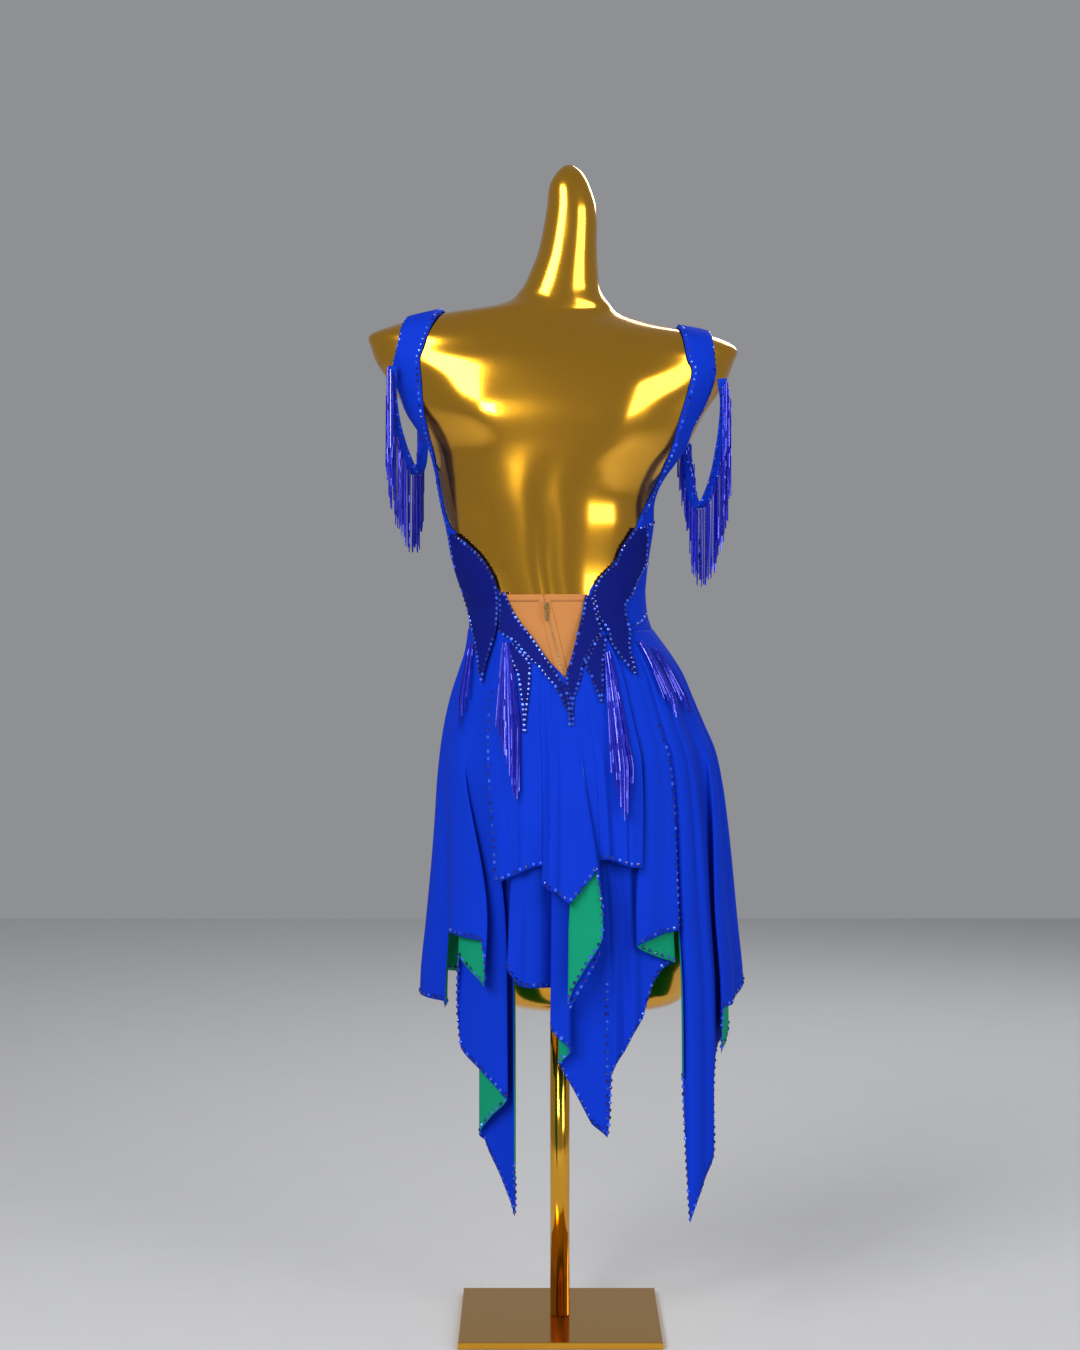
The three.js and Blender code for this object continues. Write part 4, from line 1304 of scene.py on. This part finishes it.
def place(obj: bpy.types.Object, slot: str, *nodes: str) -> bpy.types.Object:
    """Puts a piece on the body of the dress, and hides the CAD nodes it stands for.

    Args:
        obj: The piece.
        slot: The record's material slot; not used.
        *nodes: CAD nodes that it replaces.

    Returns:
        The piece.
    """
    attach(obj, ROOT)
    if nodes:
        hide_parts(*nodes)
    return obj


def cut_cloth(obj: bpy.types.Object, data: MeshData, held: str) -> None:
    """States the flat cut of a cloth piece, laid out from its own worn surface.

    Width is the longest run across a row, measured level unless the piece is a draped
    band. Length is the longest run down a column, and area the sum of the face's quads.
    A stretched piece is divided by the stretch in each direction. No pattern was known,
    so these follow the shape and don't test it.

    Args:
        obj: The piece.
        data: Its mesh, which keeps the grid of the outer face.
        held: How it is held.
    """
    grid = data.grid
    across, down = np.diff(grid, axis=1), np.diff(grid, axis=0)
    level = across if held == "draped" else across[..., :2]
    width = np.linalg.norm(level, axis=2).sum(axis=1).max()
    length = np.linalg.norm(down, axis=2).sum(axis=0).max()
    area = np.linalg.norm(np.cross(across[:-1], down[:, :-1]), axis=2).sum()
    ease = STRETCH if held == "stretched" else 1.0
    flat = (float(width) * MM / ease, float(length) * MM / ease)
    area = float(area) * MM * MM / ease**2
    LOG.info("cut %s: %.3f by %.3f m, %.4f square metres", obj.name, *flat, area)


@dataclass
class DressForm:
    """The smooth gold torso with its neck cap."""

    palette: Palette
    around: int = 144
    rows: int = 260

    def build(self) -> bpy.types.Object:
        """Makes the closed torso: rings by height, capped at both ends.

        Returns:
            The object.
        """
        low, high = FORM_ROWS[0][0], FORM_ROWS[-1][0]
        share = np.linspace(0, 1, self.rows)
        z = low + (high - low) * (share + 0.045 * np.sin(2 * np.pi * share) / np.pi)
        turn = np.arange(self.around) * 360.0 / self.around
        grid = FORM.point(turn[None, :], z[:, None])
        grid = self.sculpt(grid, np.radians(turn)[None, :], z[:, None])
        caps = np.array([[-37.0, 0.0, low], [-11.0, 0.0, high + 1.0]])
        ids = np.arange(grid.shape[0] * self.around).reshape(grid.shape[:2])
        nxt = np.roll(ids, -1, axis=1)
        body = np.stack([ids[:-1], nxt[:-1], nxt[1:], ids[1:]], axis=-1).reshape(-1, 4)
        n = ids.size
        ends = np.concatenate([
            np.stack([np.full(self.around, n), nxt[0], ids[0], ids[0]], axis=1),
            np.stack([np.full(self.around, n + 1), ids[-1], nxt[-1], nxt[-1]], axis=1),
        ])
        points = np.concatenate([grid.reshape(-1, 3), caps])
        faces = body.tolist() + [f[:3] for f in ends.tolist()]
        mesh = bpy.data.meshes.new("torso")
        mesh.from_pydata(points * MM, [], faces)
        mesh.materials.append(self.palette.gold)
        mesh.polygons.foreach_set("use_smooth", np.ones(len(faces), bool))
        obj = bpy.data.objects.new("torso", mesh)
        bpy.context.scene.collection.objects.link(obj)
        return place(obj, "form_gold", "form_body")

    @staticmethod
    def sculpt(grid: Array, turn: Array, z: Array) -> Array:
        """Presses a spine groove and a hollow in and raises the shoulder blades.

        Each is a bell across the turn, amount * exp(-(turn/spread)^2). Hollow and blades
        fade as a bell in height too; the groove runs evenly and ends softly.

        Args:
            grid: Points of the form.
            turn: Turns in radians.
            z: Heights.

        Returns:
            The changed points.
        """
        back = np.degrees(turn)
        ends = smoothstep((z - 835) / 90) * smoothstep((1110 - z) / 150)
        groove = 6.0 * np.exp(-(((back - SPINE_TURN) / 7.0) ** 2)) * ends
        around = np.exp(-(((back - SPINE_TURN) / 22.0) ** 2))
        hollow = 4.5 * around * np.exp(-(((z - 1110) / 90.0) ** 2))
        tall = np.exp(-(((z - 1140) / 52.0) ** 2))
        blades = 4.5 * tall * sum(np.exp(-(((back - at) / 13) ** 2)) for at in BLADE_TURNS)
        out = grid.copy()
        out[..., 1] += blades - groove - hollow
        return out


@dataclass
class Stand:
    """Pole and square plate."""

    palette: Palette

    def build(self) -> list[bpy.types.Object]:
        """Makes the round pole and the plate with a softened upper edge.

        Returns:
            The two objects.
        """
        turn = np.arange(64) * 2 * np.pi / 64
        ring = np.stack([np.cos(turn), np.sin(turn)], axis=1)
        lengths = [(POLE_R, PLATE_T + POLE_GAP), (POLE_R, FORM_FOOT_Z - POLE_GAP)]
        pole = self.turned("pole", lengths, ring, self.palette.brass)
        square = np.array([[-1, -1], [1, -1], [1, 1], [-1, 1]], float)
        h = PLATE_SIDE / 2
        levels = [(h, 0.0), (h, PLATE_T - BEVEL), (h - BEVEL, PLATE_T)]
        plate = self.turned("plate", levels, square, self.palette.brass, False)
        place(pole, "stand_gold", "stand_pole")
        place(plate, "stand_gold", "base_plate")
        return [pole, plate]

    @staticmethod
    def turned(
        name: str,
        profile: list[tuple[float, float]],
        ring: Array,
        material: bpy.types.Material,
        smooth: bool = True,
    ) -> bpy.types.Object:
        """Makes a closed body from a profile and a unit outline.

        Args:
            name: Name of the piece.
            profile: Size and height of each level.
            ring: The outline at size one.
            material: Its material.
            smooth: Shades the sides smooth.

        Returns:
            The object.
        """
        count = len(ring)
        points = np.concatenate([np.column_stack([ring * r, np.full(count, z)]) for r, z in profile])
        ids = np.arange(len(points)).reshape(-1, count)
        nxt = np.roll(ids, -1, axis=1)
        sides = np.stack([ids[:-1], nxt[:-1], nxt[1:], ids[1:]], axis=-1).reshape(-1, 4).tolist()
        mesh = bpy.data.meshes.new(name)
        mesh.from_pydata(points * MM, [], sides + [ids[0][::-1].tolist(), ids[-1].tolist()])
        mesh.materials.append(material)
        flags = np.zeros(len(sides) + 2, bool)
        flags[: len(sides)] = smooth
        mesh.polygons.foreach_set("use_smooth", flags)
        obj = bpy.data.objects.new(name, mesh)
        bpy.context.scene.collection.objects.link(obj)
        return obj


@dataclass
class Bodice:
    """Close-fitting bodice: two backs with straps and two fronts with straps."""

    palette: Palette
    stones: StoneSetter
    columns: int = 30

    def build(self) -> list[bpy.types.Object]:
        """Makes the four bodice pieces and sets stones along their back edges.

        Returns:
            The objects.
        """
        plan = (
            ("bodice_back_left", BACK_LEFT, STRAP_BACK_LEFT, 1180.0, False, (-0.4, 0.0)),
            ("bodice_back_right", BACK_RIGHT, STRAP_BACK_RIGHT, 1165.0, True, (0.0, 0.55)),
            ("bodice_front_left", FRONT_LEFT, STRAP_FRONT_LEFT[::-1], 1180.0, True, (-0.18, 0.4)),
            ("bodice_front_right", FRONT_RIGHT, STRAP_FRONT_RIGHT[::-1], 1165.0, False, (-0.55, 0.18)),
        )
        made = []
        for name, rows, straps, pivot, flip, widen in plan:
            table = np.array(rows, float)
            table[:, 1:] += np.array(widen) * (table[:, :1] < SEAM_TOP)
            free = np.array(widen) == 0.0
            grid, lifts = self.surface(table, np.array(straps, float), pivot, flip, free)
            normals = grid_normals(grid)
            outer = grid + normals * lifts
            data = wall(outer, outer - normals * CLOTH)
            obj = place(data.make(name + "_cloth", [self.palette.royal] * 2), "royal", name)
            cut_cloth(obj, data, "stretched")
            made.append(obj)
            inner_edge, outer_edge = (0, -1) if "right" in name else (-1, 0)
            if "back" in name:
                self.edge(outer, normals, inner_edge, slice(len(outer) // 3, None))
            strap_from = int(len(outer) * (0.62 if "back" in name else 0.66))
            self.edge(outer, normals, outer_edge, slice(strap_from, None))
            if "front" in name:
                self.edge(outer, normals, outer_edge - 1 if outer_edge else -1, slice(strap_from, None))
        return made

    def edge(self, outer: Array, normals: Array, column: int, rows: slice) -> None:
        """Sets stones 4 mm inside one edge of a piece.

        Args:
            outer: Outer face of the piece.
            normals: Its normals.
            column: Column of the edge.
            rows: Rows that carry stones.
        """
        ref = column + 1 if column == 0 else column - 1
        inward = unit(outer[:, ref] - outer[:, column])
        line = outer[:, column] + STONE_INSET * inward
        self.stones.along(line[rows] + STONE_LIFT * normals[rows, column], normals[rows, column])

    def surface(
        self, rows: Array, straps: Array, pivot: float, flip: bool, free: Array
    ) -> tuple[Array, Array]:
        """Surface of one piece: turns on the form's rings, then rays over the shoulder.

        Args:
            rows: Height and the turns of the two edges.
            straps: Lean of the ray, X of the outer edge and X of the inner edge.
            pivot: Height that the rays start from.
            flip: Puts the inner edge first.
            free: Whether the first and the last edge are free below the seams' top.

        Returns:
            The fine grid and how far its outer face stands off the form.
        """
        t = np.linspace(0, 1, self.columns + 1)[None, :]
        height = np.where(rows[:, :1] < WAIST_Z + 1, WAIST_Z - 2.5, rows[:, :1])
        low = FORM.point(rows[:, 1:2] * (1 - t) + rows[:, 2:3] * t, height)
        u = 1 - t if flip else t
        high = self.over_shoulder(straps[:, 1:2] * (1 - u) + straps[:, 2:3] * u, straps[:, :1], pivot)
        index = np.arange(len(rows) + len(straps), dtype=float)
        lift = BODY_GAP + WALL + STRAP_LIFT * smoothstep((index - len(rows) + 4) / 4)
        grid = refine(np.concatenate([low, high]), 5)
        run = np.linalg.norm(np.diff(grid, axis=1), axis=2).cumsum(axis=1)
        run = np.concatenate([np.zeros((len(grid), 1)), run], axis=1)
        strap = smoothstep((grid[:, :1, 2] - SEAM_TOP) / 20)
        first = np.maximum(strap, free[0]) * (1 - smoothstep(run / 4.5))
        last = np.maximum(strap, free[1]) * (1 - smoothstep((run[:, -1:] - run) / 4.5))
        hug = 1 - 0.64 * np.maximum(first, last)
        return grid, (refine(lift[:, None], 5) * hug)[..., None]

    @staticmethod
    def over_shoulder(x: Array, lean: Array, pivot: float) -> Array:
        """Points of the form on rays at constant X, found by halving the interval.

        Args:
            x: Distances to the wearer's left.
            lean: Angles of the rays in degrees, 0 back, 90 up, 180 front.
            pivot: Height that the rays start from.

        Returns:
            Points, shape (rows, columns, 3).
        """
        x, lean = np.broadcast_arrays(x, lean)
        c, s = np.cos(np.radians(lean)), np.sin(np.radians(lean))
        near, far = np.zeros_like(x), np.full_like(x, 150.0)
        for _ in range(40):
            r = (near + far) / 2
            z = pivot + r * s
            left, right = FORM.column(1, z), FORM.column(2, z)
            depth = np.where(c > 0, FORM.column(3, z), FORM.column(4, z))
            inside = ((x - (left + right) / 2) / ((left - right) / 2)) ** 2 + (r * c / depth) ** 2 < 1
            near, far = np.where(inside, r, near), np.where(inside, far, r)
        return np.stack([x, near * c, pivot + near * s], axis=-1)


@dataclass
class Insert:
    """Flesh-coloured mesh below the back opening, with tapes and zip teeth."""

    palette: Palette
    tape: float = 7.0

    def strip(self, z: Array, start: Array, end: Array, out: float, columns: int = 10) -> MeshData:
        """Sheet on the form between two lines of X.

        Args:
            z: Heights of the rows, falling.
            start: X of the first edge.
            end: X of the second edge.
            out: Distance of the outer face from the form.
            columns: Steps across.

        Returns:
            The closed sheet.
        """
        t = np.linspace(0, 1, columns + 1)[None, :]
        x = start[:, None] * (1 - t) + end[:, None] * t
        grid = FORM.point(FORM.turn_at(x, z[:, None]), z[:, None])
        return sheet_on(grid[::-1], out, 0.6)

    def build(self) -> list[bpy.types.Object]:
        """Makes the two mesh halves, their top hem, the tapes and the teeth.

        Returns:
            The objects.
        """
        rows = refine(np.array(INSERT_ROWS, float), 6)
        z, left, mid, right = rows.T
        out = BODY_GAP + 1.0
        made = []
        pieces = (
            ("insert_left", z, left, mid + 0.3, out), ("insert_right", z, mid - 0.3, right, out),
            ("zip_tape_left", z - 2, mid + self.tape, mid + 0.3, out + 0.9),
            ("zip_tape_right", z - 2, mid - 0.3, mid - self.tape, out + 0.9),
        )
        for name, height, start, end, distance in pieces:
            keep = slice(None) if "insert" in name else slice(0, len(z) - 6)
            data = self.strip(height[keep], start[keep], end[keep], distance)
            obj = place(data.make(name + "_cloth", [self.palette.nude] * 2), "nude", name)
            if "insert" in name:
                cut_cloth(obj, data, "stretched")
            made.append(obj)
        self.top_hem(rows)
        self.teeth(rows)
        return made

    def top_hem(self, rows: Array) -> None:
        """Adds the turned hem: strips 9 mm high along the top edge of both halves.

        Args:
            rows: Fine rows of the insert.
        """
        top = rows[rows[:, 0] > rows[0, 0] - 9.5]
        for name, first, last in (("hem_left", 1, 2), ("hem_right", 2, 3)):
            shift = 0.5 if name.endswith("left") else -0.5
            start = top[:, first] + (0 if first == 1 else shift)
            end = top[:, last] + (0 if last == 3 else shift)
            data = self.strip(top[:, 0] + 0.2, start, end, BODY_GAP + 1.75, 14)
            place(data.make("insert_" + name, [self.palette.nude] * 2), "nude")

    def teeth(self, rows: Array) -> None:
        """Adds the row of zip teeth as small blocks down the middle line.

        Args:
            rows: Fine rows of the insert.
        """
        z = np.arange(816.0, 896.0, 1.6)
        x = np.interp(z, rows[::-1, 0], rows[::-1, 2])
        line = FORM.point(FORM.turn_at(x, z), z, BODY_GAP + 2.6)
        box = np.array([[i, j, k] for k in (-0.5, 0.5) for j in (-0.5, 0.5) for i in (-0.5, 0.5)])
        quads = np.array([
            [0, 2, 3, 1], [4, 5, 7, 6], [0, 1, 5, 4],
            [2, 6, 7, 3], [0, 4, 6, 2], [1, 3, 7, 5],
        ])
        axis = np.gradient(line, axis=0)
        frames = frames_from(axis, np.tile([0.0, 1.0, 0.0], (len(z), 1)))
        size = np.tile([2.4, 0.9, 0.9], (len(z), 1))
        data = copies(box, quads, line, frames, size, np.zeros(len(z)))
        place(data.make("zip_teeth", [self.palette.bronze], smooth=False), "zip_bronze")


@dataclass
class DarkPieces:
    """Dark shaped pieces round the waist, outlined with stones."""

    palette: Palette
    stones: StoneSetter

    @staticmethod
    def turned_edge(name: str, t: Array) -> Array:
        """Extra wall of the hem turned under, along a panel's edge at the bare back.

        Args:
            name: Name of the piece.
            t: Positions across it, 0 at the wearer's left edge.

        Returns:
            Extra thickness in millimetres, 0 for pieces inside the panels.
        """
        if "panel" not in name:
            return 0.0 * t
        edge = 1 - t if "left" in name else t
        return 3.2 * smoothstep(1 - edge / 0.07)

    def build(self) -> list[bpy.types.Object]:
        """Makes each piece as a thin sheet on the cover surface.

        Returns:
            The objects.
        """
        made = []
        for name, rows in DARK.items():
            fine = refine(np.array(rows, float), 6)
            z, left, right = fine[:, :1], fine[:, 1:2], fine[:, 2:3]
            right = np.minimum(right, left - 0.4)
            t = np.linspace(0, 1, 17)[None, :]
            grid = cover_point(left * (1 - t) + right * t, z, 0.0)[::-1]
            data = sheet_on(grid, 0.9, 0.8 + self.turned_edge(name, t) * (z[::-1] > 905))
            obj = place(data.make(name + "_cloth", [self.palette.dark] * 2), "dark", name)
            cut_cloth(obj, data, "laid")
            made.append(obj)
            normals = grid_normals(grid)
            for column, ref in ((0, 1), (-1, -2)):
                inward = unit(grid[:, ref] - grid[:, column])
                line = grid[:, column] + 1.5 * inward + 1.0 * normals[:, column]
                self.stones.along(line, normals[:, column], CLOSE_STONES)
        return made


@dataclass
class Layer:
    """One layer of skirt panels that share a table of folds."""

    palette: Palette
    stones: StoneSetter
    panels: dict[str, tuple[tuple[float, ...], ...]]
    overlay: bool = False
    per_fold: int = 14
    rows: int = 72

    def __post_init__(self) -> None:
        """Joins the fold tables, leaving out each row shared by two panels."""
        tables = [np.array(rows, float) for rows in self.panels.values()]
        parts = [tables[0]] + [table[1:] for table in tables[1:]]
        self.folds = np.concatenate(parts)
        self.starts = np.cumsum([0] + [len(table) - 1 for table in tables[:-1]])

    def smooth(self, column: int, s: Array) -> Array:
        """Smooth column of the joined fold table.

        Args:
            column: Column number.
            s: Fold positions.

        Returns:
            The values.
        """
        return hermite(np.arange(len(self.folds), dtype=float), self.folds[:, column], s, clamped=True)

    def point(self, s: Array, z: Array) -> Array:
        """Outer face of the layer.

        The turn passes from the waist's to the hem's as the folds open. The under layer
        lies between envelope and core by its tuck; the overlay stands out from the
        envelope by 3 mm plus its crest.

        Args:
            s: Fold positions.
            z: Heights.

        Returns:
            Points, shape (..., 3).
        """
        s, z = np.broadcast_arrays(s, z)
        share = opened(z)
        turn = self.smooth(0, s) * (1 - share) + self.smooth(1, s) * share
        depth = np.maximum(self.smooth(2, s), 0)
        if self.overlay:
            return FLARE.point(turn, z, 3 + (4 + depth) * share)
        outer, inner = FLARE.point(turn, z), CORE.point(turn, z)
        return outer + (inner - outer) * depth[..., None]

    def normal(self, s: Array, z: Array) -> Array:
        """Inward unit normal by central differences in fold position and height.

        Args:
            s: Fold positions.
            z: Heights.

        Returns:
            Unit normals.
        """
        across = self.point(s + 0.02, z) - self.point(s - 0.02, z)
        down = self.point(s, z - 1) - self.point(s, z + 1)
        return unit(np.cross(across, down))

    def gathers(self, s: Array, z: Array) -> Array:
        """Soft creases that fall from the waist seam, as distances inward.

        Each is a narrow trough, ((1 + cos) / 2)^1.6 of the waist turn. The spacing is
        about eight degrees on average, closer and wider in turn. They deepen below the
        seam and fade in the parts next to a fold and towards the hem.

        Args:
            s: Fold positions.
            z: Heights.

        Returns:
            Depths in millimetres.
        """
        w = np.radians(self.smooth(0, s))
        phase = w * 47 + 2.1 * np.sin(w * 9 + 0.7) + 1.0 * np.sin(w * 23) + 0.25 * np.sin(z / 90 + w * 5)
        trough = ((1 + np.cos(phase)) / 2) ** 1.6 * (0.55 + 0.45 * np.sin(w * 13 + 2.0))
        near = np.max([self.smooth(2, s + step) for step in np.linspace(-2.5, 2.5, 11)], axis=0)
        ahead = np.min([self.smooth(1, s + step + 0.5) - self.smooth(1, s + step - 0.5)
                        for step in np.linspace(-1.5, 1.5, 7)], axis=0)
        flat = smoothstep(ahead / 1.5) * (1.0 if self.overlay else 1 - np.clip(4 * near, 0, 1.0))
        deep = (1.6 if self.overlay else 2.6) + (4.2 if self.overlay else 5.5) * opened(z)
        start = smoothstep((866 - z) / 45)
        fade = 0.35 + 0.65 * smoothstep((z - 480) / 140)
        return trough * deep * flat * start * fade

    def build(self) -> list[bpy.types.Object]:
        """Makes every panel with its hem stones.

        Returns:
            The objects.
        """
        made = []
        for (name, rows), start in zip(self.panels.items(), self.starts):
            table = np.array(rows, float)
            count = len(table) - 1
            s = np.linspace(0.01, count - 0.01, count * self.per_fold + 1)
            top = np.interp(s, np.arange(count + 1), table[:, 3])
            drop = np.interp(s, np.arange(count + 1), table[:, 4])
            share = (np.linspace(0, 1, self.rows) ** 1.2)[:, None]
            z = top + (drop - top) * share
            at = np.broadcast_to(s + start, z.shape)
            face, inward = self.point(at, z), self.normal(at, z)
            face = face + inward * self.gathers(at, z)[..., None]
            data = wall(face[::-1], (face + inward * CLOTH)[::-1])
            obj = place(data.make(name + "_cloth", [self.palette.royal, self.palette.green]), "royal", name)
            cut_cloth(obj, data, "hung")
            made.append(obj)
            self.hem(face, inward)
            for place_at, high, low in PANEL_STONES.get(name, ()):
                self.line_of_stones(start + place_at, np.linspace(high, low, 40))
            if name == "overlay_left":
                self.line_of_stones(start + 0.25, np.linspace(800.0, 576.0, 60))
        return made

    def line_of_stones(self, at: float, heights: Array) -> None:
        """Sets stones down the outer face at one fold position.

        Args:
            at: Fold position.
            heights: Heights, from the top down.
        """
        s = np.full(len(heights), at)
        line, into = self.point(s, heights), self.normal(s, heights)
        self.stones.along(line - STONE_LIFT * into, -into, HEM_STONES)

    def hem(self, face: Array, inward: Array) -> None:
        """Sets stones on both faces of a panel, 4 mm above its hem.

        Args:
            face: Outer face, hem row last.
            inward: Inward normals.
        """
        up = unit(face[-2] - face[-1])
        line = face[-1] + STONE_INSET * up
        self.stones.along(line - STONE_LIFT * inward[-1], -inward[-1], HEM_STONES)
        self.stones.along(line + (CLOTH + STONE_LIFT) * inward[-1], inward[-1], HEM_STONES)


@dataclass
class Tassels:
    """Tassels of bugle beads at the waist points."""

    palette: Palette

    def build(self) -> list[bpy.types.Object]:
        """Makes each tassel: strands that splay from a point and end in a point.

        A strand's X passes from the top edge's to its place in the widest row and then
        leans a little towards the tip; it ends near the outline.

        Returns:
            The objects.
        """
        rng = np.random.default_rng(3)
        made = []
        for name, rows in TASSELS.items():
            table = np.array(rows, float)
            wide = int(np.argmax(table[:, 1] - table[:, 2]))
            tip_z, tip_x = table[-1, 0], table[-1, 1:].mean()
            strands = Strands()
            count = max(7, int((table[wide, 1] - table[wide, 2]) / 1.5))
            for u in np.linspace(0, 1, count):
                x_wide = table[wide, 1] * (1 - u) + table[wide, 2] * u
                x_top = table[0, 1] * (1 - u) + table[0, 2] * u
                half = max(abs(table[wide, 1] - tip_x), abs(table[wide, 2] - tip_x))
                reach = (abs(x_wide - tip_x) / half) ** 1.15
                end = tip_z + (table[wide, 0] - tip_z) * min(1.0, reach) * 0.95 + rng.uniform(0, 10)
                z = np.linspace(table[0, 0] - rng.uniform(0, 5), end, 30)
                bend = np.clip((table[0, 0] - z) / (table[0, 0] - table[wide, 0]), 0, 1) ** 0.8
                lean = np.clip((table[wide, 0] - z) / (table[wide, 0] - tip_z), 0, 1) * 0.25
                x = x_top * (1 - bend) + x_wide * bend
                x = x + (tip_x - x) * lean
                strands.hang(cover_point(x, z, 1.8 + rng.uniform(-0.9, 1.2)))
            obj = strands.build(name + "_beads", self.palette.beads)
            made.append(place(obj, "beads", name))
        return made


@dataclass
class Sleeve:
    """One draped sleeve band with its long bead fringe."""

    palette: Palette
    stones: StoneSetter
    side: str
    line: tuple[tuple[float, ...], ...]

    def build(self) -> list[bpy.types.Object]:
        """Makes the band and hangs strands from its outer edge.

        Returns:
            The band and the fringe.
        """
        away = 1.0 if self.side == "left" else -1.0
        path = refine(np.array(self.line, float), 10)
        along = unit(np.gradient(path, axis=0))
        width = unit(np.array([-away, 0, 0]) + away * along * along[:, :1])
        inner = path + BAND_W * width
        order = slice(None, None, -1) if away > 0 else slice(None)
        grid = np.stack([path * (1 - t) + inner * t for t in np.linspace(1, 0, 7)])[:, order]
        data = sheet_on(grid, 0.5, 1.0)
        band = data.make(f"sleeve_band_{self.side}_cloth", [self.palette.royal] * 2)
        place(band, "royal", f"sleeve_band_{self.side}")
        cut_cloth(band, data, "draped")
        normals = grid_normals(grid)
        for row in (1, -2):
            self.stones.along(grid[row] + 0.7 * normals[row], normals[row], BAND_STONES)
        return [band, self.fringe(path, away)]

    def fringe(self, path: Array, away: float) -> bpy.types.Object:
        """Hangs one strand every 1.9 mm of the band, straight down in front of it.

        Args:
            path: Outer edge of the band.
            away: 1 on the left, -1 on the right.

        Returns:
            The fringe.
        """
        rng = np.random.default_rng(17 if away > 0 else 23)
        strands = Strands()
        tops, _ = resample(path, path, STRAND_STEP)
        for top in tops:
            start = top + [away * rng.uniform(-6.5, 1.9), rng.uniform(1.7, 3.3), rng.uniform(-3, -1)]
            sway = away * rng.uniform(-1.0, 1.0)
            fall = np.linspace(0, SLEEVE_DROP - rng.uniform(0, 12), 24)
            x = start[0] + sway * fall / SLEEVE_DROP
            strand = np.stack([x, np.full(24, start[1]), start[2] - fall], axis=1)
            strands.hang(strand)
        obj = strands.build(f"sleeve_fringe_{self.side}_beads", self.palette.beads)
        return place(obj, "beads", f"sleeve_fringe_{self.side}")


@dataclass
class ZipMetal:
    """The slider and the pull tab keep their CAD solids in a bronze finish."""

    palette: Palette

    def build(self, frame: dict) -> None:
        """Gives both nodes their material.

        Args:
            frame: The loaded frame.
        """
        for name in ("zip_slider", "zip_pull"):
            mesh = frame["nodes"][name].data
            mesh.materials.clear()
            mesh.materials.append(self.palette.bronze)


@dataclass
class Studio:
    """Pale floor, soft lights and the camera."""

    def build(self) -> None:
        """Makes the stage, which isn't part of the object."""
        corners = np.array([[-1, -1], [1, -1], [1, 1], [-1, 1]]) * FLOOR_HALF
        points = np.column_stack([corners, np.full(4, FLOOR_Z)])
        pale = Fabric("pale_floor", (0.62, 0.62, 0.63), 0.9, 0.02)
        material = pale.build(bpy.data.node_groups["cloth_effect"])
        data = MeshData(points, np.array([[0, 1, 2, 3]]), np.zeros(1, int))
        floor = data.make("floor", [material], False)
        self.light("key", (1.9, 2.6, 2.7), (0.0, 0.0, 0.95), 80.0, 1.6)
        self.light("fill", (-2.4, 2.4, 1.7), (0.0, 0.0, 0.85), 48.0, 1.8)
        self.light("strip", (0.75, 2.3, 1.45), (0.05, 0.0, 1.05), 16.0, 0.5)
        self.light("rim", (-1.2, -2.4, 2.6), (0.0, 0.0, 1.0), 35.0, 1.4)
        world = bpy.data.worlds.new("studio")
        world.use_nodes = True
        world.node_tree.nodes["Background"].inputs["Color"].default_value = (0.80, 0.82, 0.86, 1)
        world.node_tree.nodes["Background"].inputs["Strength"].default_value = 0.34
        bpy.context.scene.world = world
        bpy.context.scene.view_settings.view_transform = "Standard"
        self.camera()

    @staticmethod
    def light(
        name: str,
        at: tuple[float, float, float],
        aim: tuple[float, float, float],
        watts: float,
        size: float,
    ) -> None:
        """Adds a square area light.

        Args:
            name: Name of the light.
            at: Its place in metres.
            aim: What it looks at.
            watts: Its power.
            size: Its side in metres.
        """
        data = bpy.data.lights.new(name, "AREA")
        data.energy, data.size = watts, size
        obj = bpy.data.objects.new(name, data)
        obj.location = at
        obj.rotation_euler = (Vector(aim) - Vector(at)).to_track_quat("-Z", "Y").to_euler()
        bpy.context.scene.collection.objects.link(obj)

    @staticmethod
    def camera() -> None:
        """Sets the camera behind the dress, a little above the hips, tilted down 2 degrees."""
        data = bpy.data.cameras.new("camera")
        data.lens, data.sensor_width = 70.4, 36.0
        obj = bpy.data.objects.new("camera", data)
        obj.location = (0.025, 3.3, 0.93)
        obj.rotation_euler = (np.radians(88.0), 0.0, np.pi)
        bpy.context.scene.collection.objects.link(obj)
        bpy.context.scene.camera = obj


def main() -> None:
    """Builds the object on the loaded frame."""
    logging.basicConfig(level=logging.INFO)
    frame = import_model()
    palette = Palette()
    body_stones, skirt_stones, sleeve_stones = StoneSetter(), StoneSetter(width=4.4), StoneSetter(width=3.4)
    DressForm(palette).build()
    Stand(palette).build()
    Bodice(palette, body_stones).build()
    Insert(palette).build()
    ZipMetal(palette).build(frame)
    DarkPieces(palette, body_stones).build()
    Layer(palette, skirt_stones, UNDER_PANELS).build()
    Layer(palette, skirt_stones, OVERLAY_PANELS, overlay=True).build()
    Tassels(palette).build()
    Sleeve(palette, sleeve_stones, "left", SLEEVE_LEFT).build()
    Sleeve(palette, sleeve_stones, "right", SLEEVE_RIGHT).build()
    for rows in SIDE_STONES:
        z, turn = refine(np.array(rows, float), 8).T
        line = FORM.point(turn, z, BODY_GAP + WALL + 0.1)
        body_stones.along(line, unit(line * [1, 1, 0]), CLOSE_STONES)
    setters = {"body_stones": body_stones, "skirt_stones": skirt_stones, "sleeve_stones": sleeve_stones}
    for name, setter in setters.items():
        place(setter.build(name, palette.stones), "beads")
    Studio().build()


if __name__ == "__main__":
    main()
